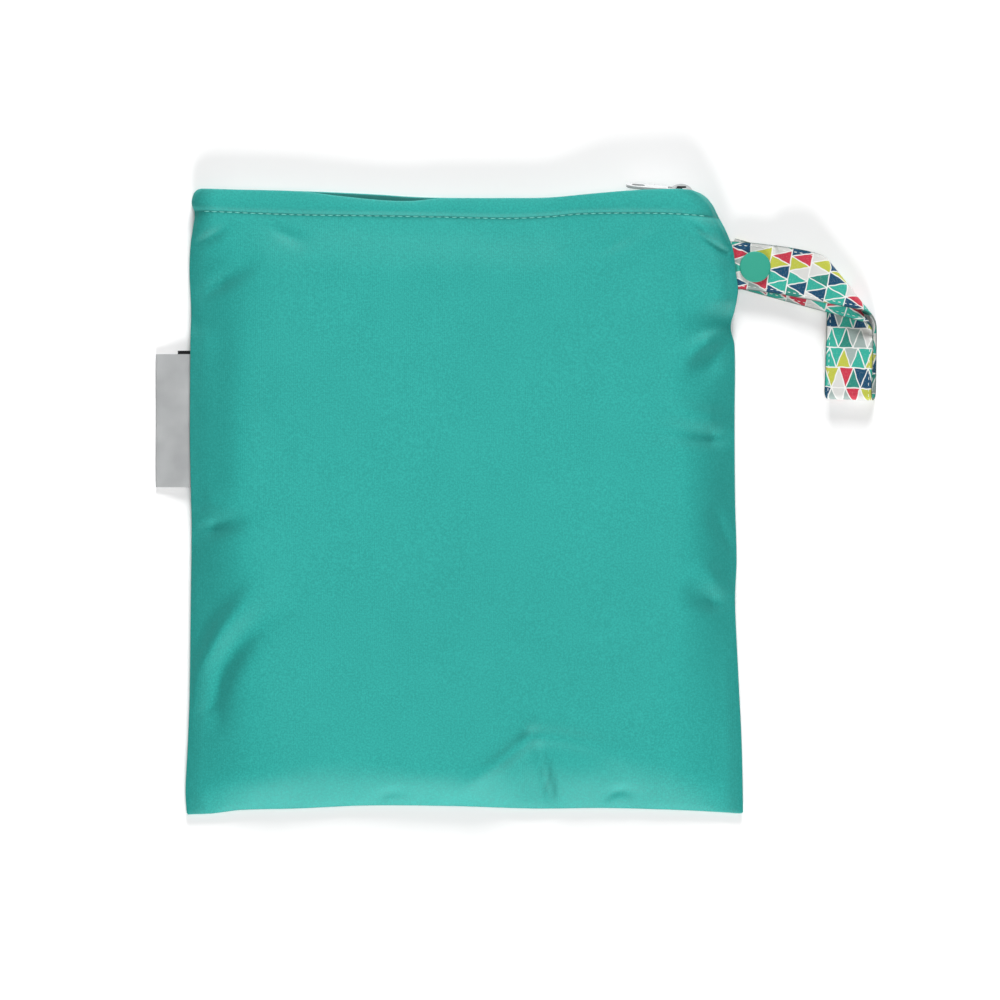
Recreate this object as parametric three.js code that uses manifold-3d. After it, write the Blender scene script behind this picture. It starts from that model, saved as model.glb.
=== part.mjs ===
// A small zipped wet bag of soft knit, lying flat: two sewn panels with a
// hemmed mouth, a coil zip recessed in the mouth, a printed loop strap with a
// press snap, and a care label in the left seam.
// Millimetres, +Z up, +Y towards the mouth. The origin lies under the middle of
// the pouch, on the face that it rests on.
import * as THREE from 'three';
import { mergeVertices } from 'three/addons/utils/BufferGeometryUtils.js';
import Module from 'manifold-3d';

const wasm = await Module();
wasm.setup();

// Pouch
const pouchWidth = 220;
const pouchHeight = 248;
const clothThickness = 1;
const pocketDepth = 9;
const leftRamp = 34;
const rightRamp = 26;
const bottomRamp = 24;
const mouthRamp = 24;
const pieceGap = 0.3;

// Hem round the mouth
const hemThickness = 1.3;
const hemDepth = 10;
const hemPuff = 0.5;
const stitchGroove = 0.4;
const leftMouthRound = 9;
const rightMouthRound = 4.5;

// Zip
const chainWidth = 5;
const chainSplit = 0.3;
const coilHeight = 1.7;
const tapeThickness = 0.5;
const tapeDepth = 10;
const tapeClearance = 0.55;
const zipLeftInset = 10;
const zipRightInset = 5.5;
const mouthOpening = chainWidth + 2 * pieceGap;
const chainSpread = 0.85;
const spreadLength = 3.5;

// Zip slider and pull
const sliderInset = 24.2;
const sliderX = pouchWidth / 2 - sliderInset;
const sliderTail = 5.8;
const sliderFront = 5.6;
const plateThickness = 0.9;
const flangeThickness = 0.7;
const neckWidth = 1.4;
const neckTip = 1.5;
const neckEnd = 5;
const archLength = 9.6;
const archHeight = 3.7;
const archWidth = 1.8;
const archWindowLength = 4.4;
const archWindowHeight = 2.8;
const pullLength = 22;
const pullWidth = 7;
const pullThickness = 1.1;
const pullEyeWidth = 5.2;
const pullTilt = 15;
const pullRise = 4.9;
const pullReach = 24;
const mouthEasing = 32;

// Strap
const strapWidth = 19;
const strapThickness = 1;
const strapBelowMouth = 30.2;
const strapSeamY = pouchHeight / 2 - strapBelowMouth;
const strapSewnIn = 5;
const strapSeamRise = 0.6;
const strapReach = 37.7;
const strapDrop = 5.1;
const strapHang = 44.5;
const strapHeading = -11.4;
const freeEndHeading = -15.3;
const hangHeading = THREE.MathUtils.degToRad(-91);
const innerFoldX = 3.55;
const innerFoldY = -4.4;
const foldRadius = 4.2;
const innerFoldRadius = 2.2;
const loopRadius = 3;
const strapPush = 1.7;

// Press snap
const snapDiameter = 12.4;
const snapReach = 8.1;
const snapCapThickness = 0.8;
const snapDome = 0.5;
const snapProngRadius = 1.1;
const studRadius = 2.1;
const studBase = 0.6;
const studHeight = 1.1;
const socketThickness = 1.4;

// Care label and the small tab behind it
const labelHeight = 53.2;
const labelReach = 13.5;
const labelThickness = 0.9;
const labelBelowMouth = 91.6;
const labelY = pouchHeight / 2 - labelBelowMouth;
const tabHeight = 14;
const tabReach = 4.8;
const tabThickness = 0.6;
const tabAbove = 1.4;
const labelSewnIn = 5;
const labelDroop = 1.9;

// How far into the pouch the seam stays open over what is sewn into it, how far
// along the seam it takes to close, and how far the back stays lifted.
const openUntil = 6;
const closedFrom = 18;
const liftUntil = 8;
const flatFrom = 22;
const liftFade = 4;

// Outline of the sewn pouch. `up` is a share of the pouch height from the
// bottom, `across` one of its width from the left, and `out` how far the edge
// stands outside the plain rectangle, as a share of the size across it.
const leftEdge = [
  { up: 0, out: 0.0064 },
  { up: 0.035, out: 0.0082 },
  { up: 0.099, out: 0.0045 },
  { up: 0.18, out: 0.001 },
  { up: 0.309, out: -0.001 },
  { up: 0.47, out: -0.0027 },
  { up: 0.6, out: 0 },
  { up: 0.76, out: -0.001 },
  { up: 0.809, out: -0.002 },
  { up: 0.873, out: 0.001 },
  { up: 0.914, out: -0.001 },
  { up: 0.941, out: -0.0055 },
  { up: 0.965, out: -0.009 },
  { up: 0.981, out: -0.0036 },
  { up: 0.998, out: -0.008 },
  { up: 1.006, out: -0.018 },
];
const rightEdge = [
  { up: 0, out: 0.0073 },
  { up: 0.051, out: 0.0064 },
  { up: 0.115, out: 0.0045 },
  { up: 0.18, out: 0.001 },
  { up: 0.244, out: -0.0027 },
  { up: 0.341, out: -0.0073 },
  { up: 0.406, out: -0.0045 },
  { up: 0.502, out: -0.0073 },
  { up: 0.631, out: -0.0082 },
  { up: 0.752, out: -0.0082 },
  { up: 0.781, out: -0.0155 },
  { up: 0.809, out: -0.0082 },
  { up: 0.841, out: -0.0027 },
  { up: 0.873, out: -0.0072 },
  { up: 0.906, out: -0.0118 },
  { up: 0.935, out: -0.0245 },
  { up: 0.964, out: -0.041 },
  { up: 0.978, out: -0.049 },
  { up: 0.994, out: -0.0645 },
  { up: 1.002, out: -0.078 },
];
const bottomEdge = [
  { across: 0, out: 0.0056 },
  { across: 0.041, out: 0.004 },
  { across: 0.092, out: -0.0016 },
  { across: 0.194, out: -0.004 },
  { across: 0.321, out: -0.0089 },
  { across: 0.474, out: -0.0081 },
  { across: 0.626, out: -0.004 },
  { across: 0.746, out: -0.0048 },
  { across: 0.837, out: -0.0032 },
  { across: 0.928, out: 0 },
  { across: 1, out: 0.004 },
];
const mouthEdge = [
  { across: 0.019, front: 0.0056, back: 0.0056 },
  { across: 0.092, front: 0.0032, back: 0.0032 },
  { across: 0.201, front: 0, back: 0.0016 },
  { across: 0.274, front: -0.0073, back: -0.0008 },
  { across: 0.346, front: -0.0137, back: -0.004 },
  { across: 0.401, front: -0.0153, back: -0.0073 },
  { across: 0.455, front: -0.0113, back: -0.0089 },
  { across: 0.565, front: -0.0105, back: -0.0094 },
  { across: 0.652, front: -0.0097, back: -0.0093 },
  { across: 0.728, front: -0.004, back: -0.0035 },
  { across: 0.801, front: 0.0016, back: 0.0011 },
  { across: 0.855, front: 0.004, back: 0.0035 },
  { across: 0.91, front: 0.0032, back: 0.0027 },
  { across: 0.935, front: -0.004, back: -0.0045 },
];

// Lines that run across the mouth, each as a share of the hem depth below the
// top of the plain rectangle: the topstitching, and the top of the zip tape.
const stitchLine = [
  { across: 0.03, sink: 0.79 },
  { across: 0.19, sink: 0.93 },
  { across: 0.35, sink: 0.98 },
  { across: 0.47, sink: 1.03 },
  { across: 0.58, sink: 1.08 },
  { across: 0.655, sink: 1.01 },
  { across: 0.71, sink: 0.91 },
  { across: 0.81, sink: 0.88 },
  { across: 0.89, sink: 0.92 },
  { across: 0.963, sink: 1.07 },
];
const zipLine = [
  { across: 0.03, sink: 0.38 },
  { across: 0.2, sink: 0.45 },
  { across: 0.35, sink: 0.7 },
  { across: 0.5, sink: 0.74 },
  { across: 0.65, sink: 0.72 },
  { across: 0.75, sink: 0.55 },
  { across: 0.82, sink: 0.42 },
  { across: 0.84, sink: 0.39 },
  { across: 0.95, sink: 0.39 },
];

// Folds of the front panel. The ends are shares of half the pouch's width and
// height from its middle, `rise` is a share of the pocket depth, with valleys
// below nothing, and `spread` is a share of the pouch width.
const folds = [
  { x1: 0.784, y1: 0.432, x2: 0.956, y2: 0.54, rise: 0.18, spread: 0.018 },
  { x1: 0.756, y1: 0.405, x2: 0.974, y2: 0.497, rise: -0.2, spread: 0.014 },
  { x1: 0.692, y1: 0.336, x2: 0.966, y2: 0.247, rise: 0.18, spread: 0.018 },
  { x1: 0.647, y1: 0.271, x2: 0.98, y2: 0.215, rise: -0.2, spread: 0.016 },
  { x1: 0.92, y1: 0.005, x2: 0.975, y2: -0.076, rise: -0.14, spread: 0.014 },
  { x1: 0.82, y1: -0.173, x2: 0.947, y2: -0.237, rise: 0.16, spread: 0.016 },
  { x1: 0.802, y1: -0.273, x2: 0.98, y2: -0.331, rise: -0.18, spread: 0.016 },
  { x1: -0.98, y1: -0.076, x2: -0.725, y2: -0.024, rise: -0.2, spread: 0.018 },
  { x1: -0.976, y1: -0.116, x2: -0.862, y2: -0.221, rise: 0.16, spread: 0.016 },
  { x1: -0.944, y1: -0.56, x2: -0.835, y2: -0.398, rise: 0.16, spread: 0.018 },
  { x1: -0.835, y1: -0.398, x2: -0.616, y2: -0.189, rise: 0.16, spread: 0.02 },
  { x1: -0.831, y1: -0.439, x2: -0.544, y2: -0.229, rise: -0.18, spread: 0.02 },
  { x1: -0.98, y1: -0.669, x2: -0.88, y2: -0.64, rise: -0.16, spread: 0.016 },
  { x1: -0.789, y1: 0.86, x2: -0.88, y2: 0.787, rise: -0.16, spread: 0.016 },
  { x1: -0.671, y1: 0.86, x2: -0.516, y2: 0.795, rise: -0.14, spread: 0.018 },
  { x1: -0.925, y1: 0.65, x2: -0.744, y2: 0.747, rise: 0.14, spread: 0.02 },
  { x1: 0.784, y1: 0.87, x2: 0.956, y2: 0.811, rise: -0.16, spread: 0.016 },
  { x1: 0.565, y1: 0.731, x2: 0.711, y2: 0.85, rise: 0.14, spread: 0.018 },
  { x1: 0.511, y1: 0.747, x2: 0.62, y2: 0.86, rise: -0.14, spread: 0.016 },
  { x1: -0.016, y1: -0.866, x2: 0.238, y2: -0.753, rise: 0.2, spread: 0.018 },
  { x1: 0.238, y1: -0.753, x2: 0.402, y2: -0.826, rise: 0.2, spread: 0.018 },
  { x1: 0.266, y1: -0.786, x2: 0.347, y2: -0.963, rise: -0.2, spread: 0.018 },
  { x1: -0.235, y1: -0.721, x2: 0.056, y2: -0.423, rise: 0.1, spread: 0.026 },
  { x1: -0.762, y1: -0.753, x2: -0.344, y2: -0.366, rise: 0.1, spread: 0.028 },
];

const { clamp, degToRad, lerp, smoothstep } = THREE.MathUtils;

// A smooth curve through the rows of a table, flat past its two ends.
function curveThrough(rows, along, value) {
  const last = rows.length - 1;
  const slopeAt = (index) => {
    const before = rows[Math.max(index - 1, 0)];
    const after = rows[Math.min(index + 1, last)];
    return (after[value] - before[value]) / (after[along] - before[along]);
  };
  return (where) => {
    const place = clamp(where, rows[0][along], rows[last][along]);
    let index = 0;
    while (index < last - 1 && place > rows[index + 1][along]) {
      index += 1;
    }
    const from = rows[index];
    const to = rows[index + 1];
    const span = to[along] - from[along];
    const t = (place - from[along]) / span;
    const rest = 1 - t;
    const bend = rest * slopeAt(index) - t * slopeAt(index + 1);
    return lerp(from[value], to[value], t * t * (3 - 2 * t)) + bend * span * t * rest;
  };
}

const leftOut = curveThrough(leftEdge, 'up', 'out');
const rightOut = curveThrough(rightEdge, 'up', 'out');
const bottomOut = curveThrough(bottomEdge, 'across', 'out');
const mouthOut = {
  front: curveThrough(mouthEdge, 'across', 'front'),
  back: curveThrough(mouthEdge, 'across', 'back'),
};
const stitchSink = curveThrough(stitchLine, 'across', 'sink');
const zipSink = curveThrough(zipLine, 'across', 'sink');

const upShare = (y) => y / pouchHeight + 0.5;
const acrossShare = (x) => x / pouchWidth + 0.5;
const leftX = (y) => -pouchWidth * (0.5 + leftOut(upShare(y)));
const rightX = (y) => pouchWidth * (0.5 + rightOut(upShare(y)));
const bottomY = (x) => -pouchHeight * (0.5 + bottomOut(acrossShare(x)));
const mouthY = (x, side) => pouchHeight * (0.5 + mouthOut[side](acrossShare(x)));
const stitchY = (x) => pouchHeight / 2 - hemDepth * stitchSink(acrossShare(x));
const zipY = (x) => pouchHeight / 2 - hemDepth * zipSink(acrossShare(x));

// Where the strap and the label are sewn in, the seam opens by what it holds.
const strapZone = { middle: strapSeamY + 1, half: strapWidth / 2 + 3 };
const labelZone = { middle: labelY + tabAbove / 2, half: labelHeight / 2 + tabAbove + 2.5 };
const inZone = (y, zone) => 1 - smoothstep(Math.abs(y - zone.middle), zone.half, zone.half + liftFade);
const nearSeam = (distance, from, to) => 1 - smoothstep(distance, from, to);

function seamOpening(x, y) {
  const strapLayer = (strapThickness + pieceGap + strapPush) * inZone(y, strapZone);
  const labelLayers = (labelThickness + tabThickness + 2 * pieceGap) * inZone(y, labelZone);
  const fromRight = nearSeam(rightX(y) - x, openUntil, closedFrom);
  const fromLeft = nearSeam(x - leftX(y), openUntil, closedFrom);
  return strapLayer * fromRight + labelLayers * fromLeft;
}

// The back panel stands on the strap's free end near the right seam, and that
// end on the press snap's lower cap.
const lowStrapZ = snapCapThickness + pieceGap + strapThickness / 2;
const seamLift = lowStrapZ + strapThickness / 2 + pieceGap;

function backLift(x, y) {
  return seamLift * inZone(y, strapZone) * nearSeam(rightX(y) - x, liftUntil, flatFrom);
}

function wallAt(x, y) {
  const intoHem = clamp((y - stitchY(x)) / 2, 0, 1);
  return lerp(clothThickness, hemThickness, intoHem);
}

// The slider holds the mouth wider open than the plain chain does.
const sliderHalfWidth = chainWidth / 2 + chainSpread + pieceGap + flangeThickness;
const sliderOpening = 2 * (sliderHalfWidth + pieceGap) + 0.1;
const mouthWidening = { from: sliderX - pullReach - mouthEasing, to: sliderX - pullReach };
const rise = (share) => Math.sin(Math.PI / 2 * clamp(share, 0, 1));
const roundRise = (share) => Math.sqrt(1 - (1 - clamp(share, 0, 1)) ** 2);

function mouthGap(x, y) {
  const widening = smoothstep(x, mouthWidening.from, mouthWidening.to);
  const full = lerp(mouthOpening, sliderOpening, widening) - pieceGap;
  const ends = roundRise((x - leftX(y)) / leftMouthRound) * roundRise((rightX(y) - x) / rightMouthRound);
  return full * ends;
}

function pocketGap(x, y) {
  const sides = rise((x - leftX(y)) / leftRamp) * rise((rightX(y) - x) / rightRamp);
  return pocketDepth * sides * rise((y - bottomY(x)) / bottomRamp);
}

function panelGap(x, y) {
  const belowHem = smoothstep(stitchY(x) - y, 0, mouthRamp);
  const space = lerp(mouthGap(x, y), pocketGap(x, y), belowHem);
  return pieceGap + Math.hypot(space, seamOpening(x, y));
}

function foldHeight(x, y) {
  const place = new THREE.Vector3(x, y, 0);
  const nearest = new THREE.Vector3();
  let height = 0;
  for (const fold of folds) {
    const from = new THREE.Vector3(fold.x1 * pouchWidth / 2, fold.y1 * pouchHeight / 2, 0);
    const to = new THREE.Vector3(fold.x2 * pouchWidth / 2, fold.y2 * pouchHeight / 2, 0);
    new THREE.Line3(from, to).closestPointToPoint(place, true, nearest);
    const away = place.distanceTo(nearest) / (fold.spread * pouchWidth);
    height += fold.rise * pocketDepth * Math.exp(-away * away);
  }
  return height;
}

const backInner = (x, y) => backLift(x, y) + wallAt(x, y);

// Folds fade out where the two panels lie close together.
function frontInner(x, y) {
  const gap = panelGap(x, y);
  const loose = clamp((gap - pieceGap) / (pocketDepth / 2), 0, 1) * smoothstep(stitchY(x) - y, 2, hemDepth);
  return backInner(x, y) + gap + loose * foldHeight(x, y);
}

// The hem is a little puffed between its edge and its sunken stitches.
function frontOuter(x, y) {
  const step = 0.5;
  const slopeX = (frontInner(x + step, y) - frontInner(x - step, y)) / (2 * step);
  const slopeY = (frontInner(x, y + step) - frontInner(x, y - step)) / (2 * step);
  const steepness = Math.min(Math.hypot(1, slopeX, slopeY), 1.5);
  const hemShare = clamp((y - stitchY(x)) / (mouthY(x, 'front') - stitchY(x)), 0, 1);
  const fromStitch = (y - stitchY(x)) / (hemDepth / 4);
  const finish = hemPuff * Math.sin(Math.PI * hemShare) - stitchGroove * Math.exp(-(fromStitch ** 2));
  return frontInner(x, y) + wallAt(x, y) * steepness + finish;
}

// Turns a closed mesh the right way out.
function facingOut(geometry) {
  const position = geometry.attributes.position;
  const index = geometry.index;
  const corners = [0, 1, 2].map(() => new THREE.Vector3());
  let volume = 0;
  for (let face = 0; face < index.count; face += 3) {
    corners.forEach((corner, k) => corner.fromBufferAttribute(position, index.getX(face + k)));
    volume += corners[0].dot(corners[1].clone().cross(corners[2]));
  }
  if (volume < 0) {
    geometry.setIndex(Array.from(index.array).reverse());
  }
  return geometry;
}

function meshFrom(points, faces) {
  const geometry = new THREE.BufferGeometry().setFromPoints(points);
  geometry.setIndex(faces);
  return facingOut(geometry);
}

// A wall between two grids of points that share their columns and rows.
function wallFromGrids(upper, lower) {
  const rows = upper.length;
  const columns = upper[0].length;
  const points = [...upper.flat(), ...lower.flat()];
  const faces = [];
  const addQuad = (a, b, c, d) => faces.push(a, b, c, a, c, d);
  const top = (row, column) => row * columns + column;
  const under = (row, column) => rows * columns + top(row, column);
  const right = columns - 1;
  const back = rows - 1;
  for (let row = 0; row < back; row += 1) {
    const next = row + 1;
    for (let column = 0; column < right; column += 1) {
      const beside = column + 1;
      addQuad(top(row, column), top(row, beside), top(next, beside), top(next, column));
      addQuad(under(row, column), under(next, column), under(next, beside), under(row, beside));
    }
    addQuad(top(next, 0), under(next, 0), under(row, 0), top(row, 0));
    addQuad(top(row, right), under(row, right), under(next, right), top(next, right));
  }
  for (let column = 0; column < right; column += 1) {
    const beside = column + 1;
    addQuad(top(0, column), under(0, column), under(0, beside), top(0, beside));
    addQuad(top(back, beside), under(back, beside), under(back, column), top(back, column));
  }
  return meshFrom(points, faces);
}

// A bar through a row of outlines with equal numbers of points. `flatten` gives
// an outline's points in its own plane, for its two closed ends.
function loft(outlines, flatten) {
  const size = outlines[0].length;
  const faces = [];
  for (let section = 0; section < outlines.length - 1; section += 1) {
    for (let corner = 0; corner < size; corner += 1) {
      const next = (corner + 1) % size;
      const here = section * size;
      const there = here + size;
      faces.push(here + corner, here + next, there + next, here + corner, there + next, there + corner);
    }
  }
  const last = (outlines.length - 1) * size;
  const capped = (outline) => THREE.ShapeUtils.triangulateShape(outline.map(flatten), []);
  const ordered = (outline) => THREE.ShapeUtils.isClockWise(outline.map(flatten)) ? -1 : 1;
  for (const triangle of capped(outlines[0])) {
    const corners = ordered(outlines[0]) > 0 ? [...triangle].reverse() : triangle;
    faces.push(...corners);
  }
  for (const triangle of capped(outlines[outlines.length - 1])) {
    const corners = ordered(outlines[outlines.length - 1]) > 0 ? triangle : [...triangle].reverse();
    faces.push(...corners.map((corner) => corner + last));
  }
  return meshFrom(outlines.flat(), faces);
}

function toSolid(geometry) {
  const bare = geometry.clone();
  bare.deleteAttribute('normal');
  bare.deleteAttribute('uv');
  const merged = mergeVertices(bare, 1e-4);
  return new wasm.Manifold(new wasm.Mesh({
    numProp: 3,
    vertProperties: Float32Array.from(merged.attributes.position.array),
    triVerts: Uint32Array.from(merged.index.array),
  }));
}

function toGeometry(solid) {
  const mesh = solid.getMesh();
  const geometry = new THREE.BufferGeometry();
  geometry.setAttribute('position', new THREE.BufferAttribute(mesh.vertProperties, 3));
  geometry.setIndex(new THREE.BufferAttribute(mesh.triVerts, 1));
  return geometry;
}

// Rows of the panels: even, but always one at each end of a seam opening.
const rowSpacing = 7.5;
const hemRows = 3;

function spread(from, to, count) {
  return Array.from({ length: count }, (_, step) => lerp(from, to, (step + 1) / count));
}

function panelRows() {
  const bottom = -pouchHeight / 2;
  const top = pouchHeight / 2 - hemDepth;
  const zoneEnds = [labelZone, strapZone].flatMap(({ middle, half }) => [
    middle - half - liftFade,
    middle - half,
    middle + half,
    middle + half + liftFade,
  ]);
  const breaks = [...zoneEnds.filter((y) => y > bottom + 1 && y < top - 1), top].sort((a, b) => a - b);
  const heights = [bottom];
  for (const end of breaks) {
    const start = heights[heights.length - 1];
    heights.push(...spread(start, end, Math.max(Math.ceil((end - start) / rowSpacing), 1)));
  }
  return heights.map((y) => (y - bottom) / (top - bottom));
}

const bodyShares = panelRows();
const hemShares = spread(0, 1, hemRows);

// Columns are crowded towards both side seams, where the panels curve most.
const columnCrowding = 0.45;
const columnShare = (share) => share - columnCrowding * Math.sin(2 * Math.PI * share) / (2 * Math.PI);

function panelGrid(columnCount, side) {
  const rowAt = (x, row) => (row < bodyShares.length
    ? lerp(bottomY(x), stitchY(x), bodyShares[row])
    : lerp(stitchY(x), mouthY(x, side), hemShares[row - bodyShares.length]));
  const grid = [];
  for (let row = 0; row < bodyShares.length + hemShares.length; row += 1) {
    const line = [];
    for (let column = 0; column <= columnCount; column += 1) {
      const share = columnShare(column / columnCount);
      let x = lerp(-pouchWidth / 2, pouchWidth / 2, share);
      let y = rowAt(x, row);
      for (let pass = 0; pass < 6; pass += 1) {
        x = lerp(leftX(y), rightX(y), share);
        y = rowAt(x, row);
      }
      line.push({ x, y });
    }
    grid.push(line);
  }
  return grid;
}

function panel(columnCount, side, outer, inner) {
  const grid = panelGrid(columnCount, side);
  const raised = (height) => ({ x, y }) => new THREE.Vector3(x, y, height(x, y));
  const placed = (height) => grid.map((line) => line.map(raised(height)));
  return wallFromGrids(placed(outer), placed(inner));
}

// Zip: the chain faces out of the mouth, with each tape turned down along the
// inside of its hem.
const chainZ = (x) => (backInner(x, zipY(x)) + frontInner(x, zipY(x))) / 2;
const chainParting = (x) => chainSplit / 2 + chainSpread * clamp((x - sliderX + 1) / spreadLength, 0, 1);
const zipStart = leftX(zipY(-pouchWidth / 2)) + zipLeftInset;
const zipEnd = rightX(zipY(pouchWidth / 2)) - zipRightInset;
const zipStations = [zipStart, ...spread(zipStart, mouthWidening.from, 16), ...spread(mouthWidening.from,
  sliderX - 2, 9), ...spread(sliderX - 2, zipEnd, 5)];
const acrossX = (point) => new THREE.Vector2(point.y, point.z);

function tape(side) {
  const outlines = zipStations.map((x) => {
    const top = zipY(x);
    const foot = top - tapeThickness;
    const low = top - tapeDepth;
    const hemAt = (y) => (side > 0 ? frontInner(x, y) : backInner(x, y)) - side * tapeClearance;
    const outerTop = hemAt(top);
    const outerLow = side > 0 ? Math.min(hemAt(low), outerTop) : Math.max(hemAt(low), outerTop);
    const edge = chainZ(x) + side * chainParting(x);
    return [
      [top, outerTop],
      [low, outerLow],
      [low, outerLow - side * tapeThickness],
      [foot, outerTop - side * tapeThickness],
      [foot, edge],
      [top, edge],
    ].map(([y, z]) => new THREE.Vector3(x, y, z));
  });
  return loft(outlines, acrossX);
}

function coil(side) {
  const halfWidth = (chainWidth - chainSplit) / 2;
  const outlines = zipStations.map((x) => {
    const low = zipY(x) + pieceGap;
    const top = low + coilHeight;
    const near = chainZ(x) + side * chainParting(x);
    const far = near + side * halfWidth;
    return [[low, near], [top, near], [top, far], [low, far]].map(([y, z]) => new THREE.Vector3(x, y, z));
  });
  return loft(outlines, acrossX);
}

// An outline in the slider's own plan, extruded from one height to another:
// its first axis along the chain, its height out of the mouth.
function plate(shape, from, to) {
  const geometry = new THREE.ExtrudeGeometry(shape, {
    depth: to - from,
    bevelEnabled: false,
    curveSegments: 6,
  });
  geometry.rotateX(-Math.PI / 2);
  geometry.translate(0, from, 0);
  return toSolid(geometry);
}

function symmetric(points) {
  const mirrored = points.map(([x, y]) => new THREE.Vector2(x, -y)).reverse();
  return new THREE.Shape([...points.map(([x, y]) => new THREE.Vector2(x, y)), ...mirrored]);
}

const channelTop = coilHeight + 2 * pieceGap;
const plateTop = channelTop + plateThickness;

function arch() {
  const middle = sliderFront - archLength / 2;
  const shape = new THREE.Shape();
  shape.moveTo(-archLength / 2, -plateThickness / 2);
  shape.absellipse(0, 0, archLength / 2, archHeight, Math.PI, 0, true);
  shape.lineTo(archLength / 2, -plateThickness / 2);
  const window = new THREE.Path();
  const half = archWindowLength / 2;
  const corner = archWindowHeight / 2;
  window.moveTo(-half, 0);
  window.lineTo(half, 0);
  window.lineTo(half, archWindowHeight - corner);
  window.quadraticCurveTo(half, archWindowHeight, half - corner, archWindowHeight);
  window.lineTo(corner - half, archWindowHeight);
  window.quadraticCurveTo(-half, archWindowHeight, -half, archWindowHeight - corner);
  shape.holes.push(window);
  const geometry = new THREE.ExtrudeGeometry(shape, {
    depth: archWidth,
    bevelEnabled: false,
    curveSegments: 10,
  });
  geometry.translate(middle, plateTop, -archWidth / 2);
  return toSolid(geometry);
}

function slider() {
  const tailHalf = chainWidth / 2 + pieceGap + flangeThickness;
  const frontHalf = tailHalf * 0.83;
  const body = symmetric([
    [-sliderTail, tailHalf * 0.9],
    [-sliderTail + 1, tailHalf],
    [-1, tailHalf + 0.1],
    [2, sliderHalfWidth],
    [4, sliderHalfWidth - 0.2],
    [sliderFront - 0.8, frontHalf + 0.6],
    [sliderFront, frontHalf],
  ]);
  const channel = symmetric([
    [-sliderTail - 1, chainWidth / 2 + pieceGap],
    [-1, chainWidth / 2 + pieceGap],
    [2.5, sliderHalfWidth - flangeThickness],
    [sliderFront + 1, sliderHalfWidth - flangeThickness],
  ]);
  const baseHalf = tailHalf - pieceGap;
  const base = symmetric([
    [-sliderTail, baseHalf * 0.9],
    [-sliderTail + 1, baseHalf],
    [sliderFront - 1.5, baseHalf],
    [sliderFront, baseHalf * 0.8],
  ]);
  const neck = symmetric([
    [neckTip, 0.02],
    [(neckTip + neckEnd) / 2, neckWidth / 2],
    [neckEnd, neckWidth / 2 - 0.15],
  ]);
  const slotLow = -tapeThickness - pieceGap;
  const solid = plate(body, pieceGap, plateTop)
    .subtract(plate(channel, -1, channelTop))
    .add(plate(base, slotLow - plateThickness, slotLow))
    .add(plate(neck, slotLow - plateThickness / 2, channelTop + plateThickness / 2))
    .add(arch());
  return toGeometry(solid);
}

// The pull's eye goes round the back leg of the arch, and its bar lies in the
// arch's window.
function pull() {
  const bar = pullThickness / 2;
  const half = pullWidth / 2;
  const eyeHalf = pullEyeWidth / 2;
  const shape = new THREE.Shape();
  shape.moveTo(-bar, -eyeHalf + 0.5);
  shape.lineTo(-bar + 0.5, -eyeHalf);
  shape.lineTo(pullLength * 0.28, -eyeHalf);
  shape.lineTo(pullLength * 0.45, -half);
  shape.lineTo(pullLength - half, -half);
  shape.absarc(pullLength - half, 0, half, -Math.PI / 2, Math.PI / 2, false);
  shape.lineTo(pullLength * 0.45, half);
  shape.lineTo(pullLength * 0.28, eyeHalf);
  shape.lineTo(-bar + 0.5, eyeHalf);
  shape.lineTo(-bar, eyeHalf - 0.5);
  const eye = new THREE.Path();
  const eyeHole = archWidth / 2 + 2.5 * pieceGap;
  const eyeEnd = archLength / 2 + 1.5 * pieceGap;
  eye.moveTo(bar, -eyeHole);
  eye.lineTo(eyeEnd, -eyeHole);
  eye.lineTo(eyeEnd, eyeHole);
  eye.lineTo(bar, eyeHole);
  const slot = new THREE.Path();
  const slotHalf = pullWidth * 0.24;
  slot.absarc(pullLength * 0.66 + slotHalf, 0, slotHalf, Math.PI / 2, 3 * Math.PI / 2, false);
  slot.absarc(pullLength * 0.9 - slotHalf, 0, slotHalf, -Math.PI / 2, Math.PI / 2, false);
  shape.holes.push(eye, slot);
  const geometry = new THREE.ExtrudeGeometry(shape, {
    depth: pullThickness,
    bevelEnabled: false,
    curveSegments: 8,
  });
  geometry.translate(0, 0, -pullThickness / 2);
  const towardsTail = new THREE.Matrix4().makeBasis(
    new THREE.Vector3(-1, 0, 0),
    new THREE.Vector3(0, 0, 1),
    new THREE.Vector3(0, 1, 0),
  );
  geometry.applyMatrix4(towardsTail);
  return toGeometry(toSolid(geometry));
}

// Press snap, stacked through both layers of the strap.
const snapRadius = snapDiameter / 2;
const studZ = lowStrapZ + strapThickness / 2 + pieceGap;
const socketZ = studZ + studBase + pieceGap;
const highStrapZ = socketZ + socketThickness + pieceGap + strapThickness / 2;
const capZ = highStrapZ + strapThickness / 2 + pieceGap;
const snapSides = 24;

function turned(profile) {
  const points = profile.map(([radius, z]) => new THREE.Vector2(radius, z));
  const geometry = new THREE.LatheGeometry(points, snapSides);
  geometry.rotateX(Math.PI / 2);
  return toGeometry(toSolid(facingOut(mergeVertices(geometry, 1e-4))));
}

function snapCap() {
  const tip = -strapThickness - 2 * pieceGap - socketThickness / 4;
  return turned([
    [0, tip],
    [snapProngRadius, tip],
    [snapProngRadius, 0],
    [snapRadius * 0.94, 0],
    [snapRadius, 0.25],
    [snapRadius, snapCapThickness * 0.6],
    [snapRadius * 0.9, snapCapThickness],
    [snapRadius * 0.5, snapCapThickness + snapDome * 0.8],
    [0, snapCapThickness + snapDome],
  ]);
}

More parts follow.
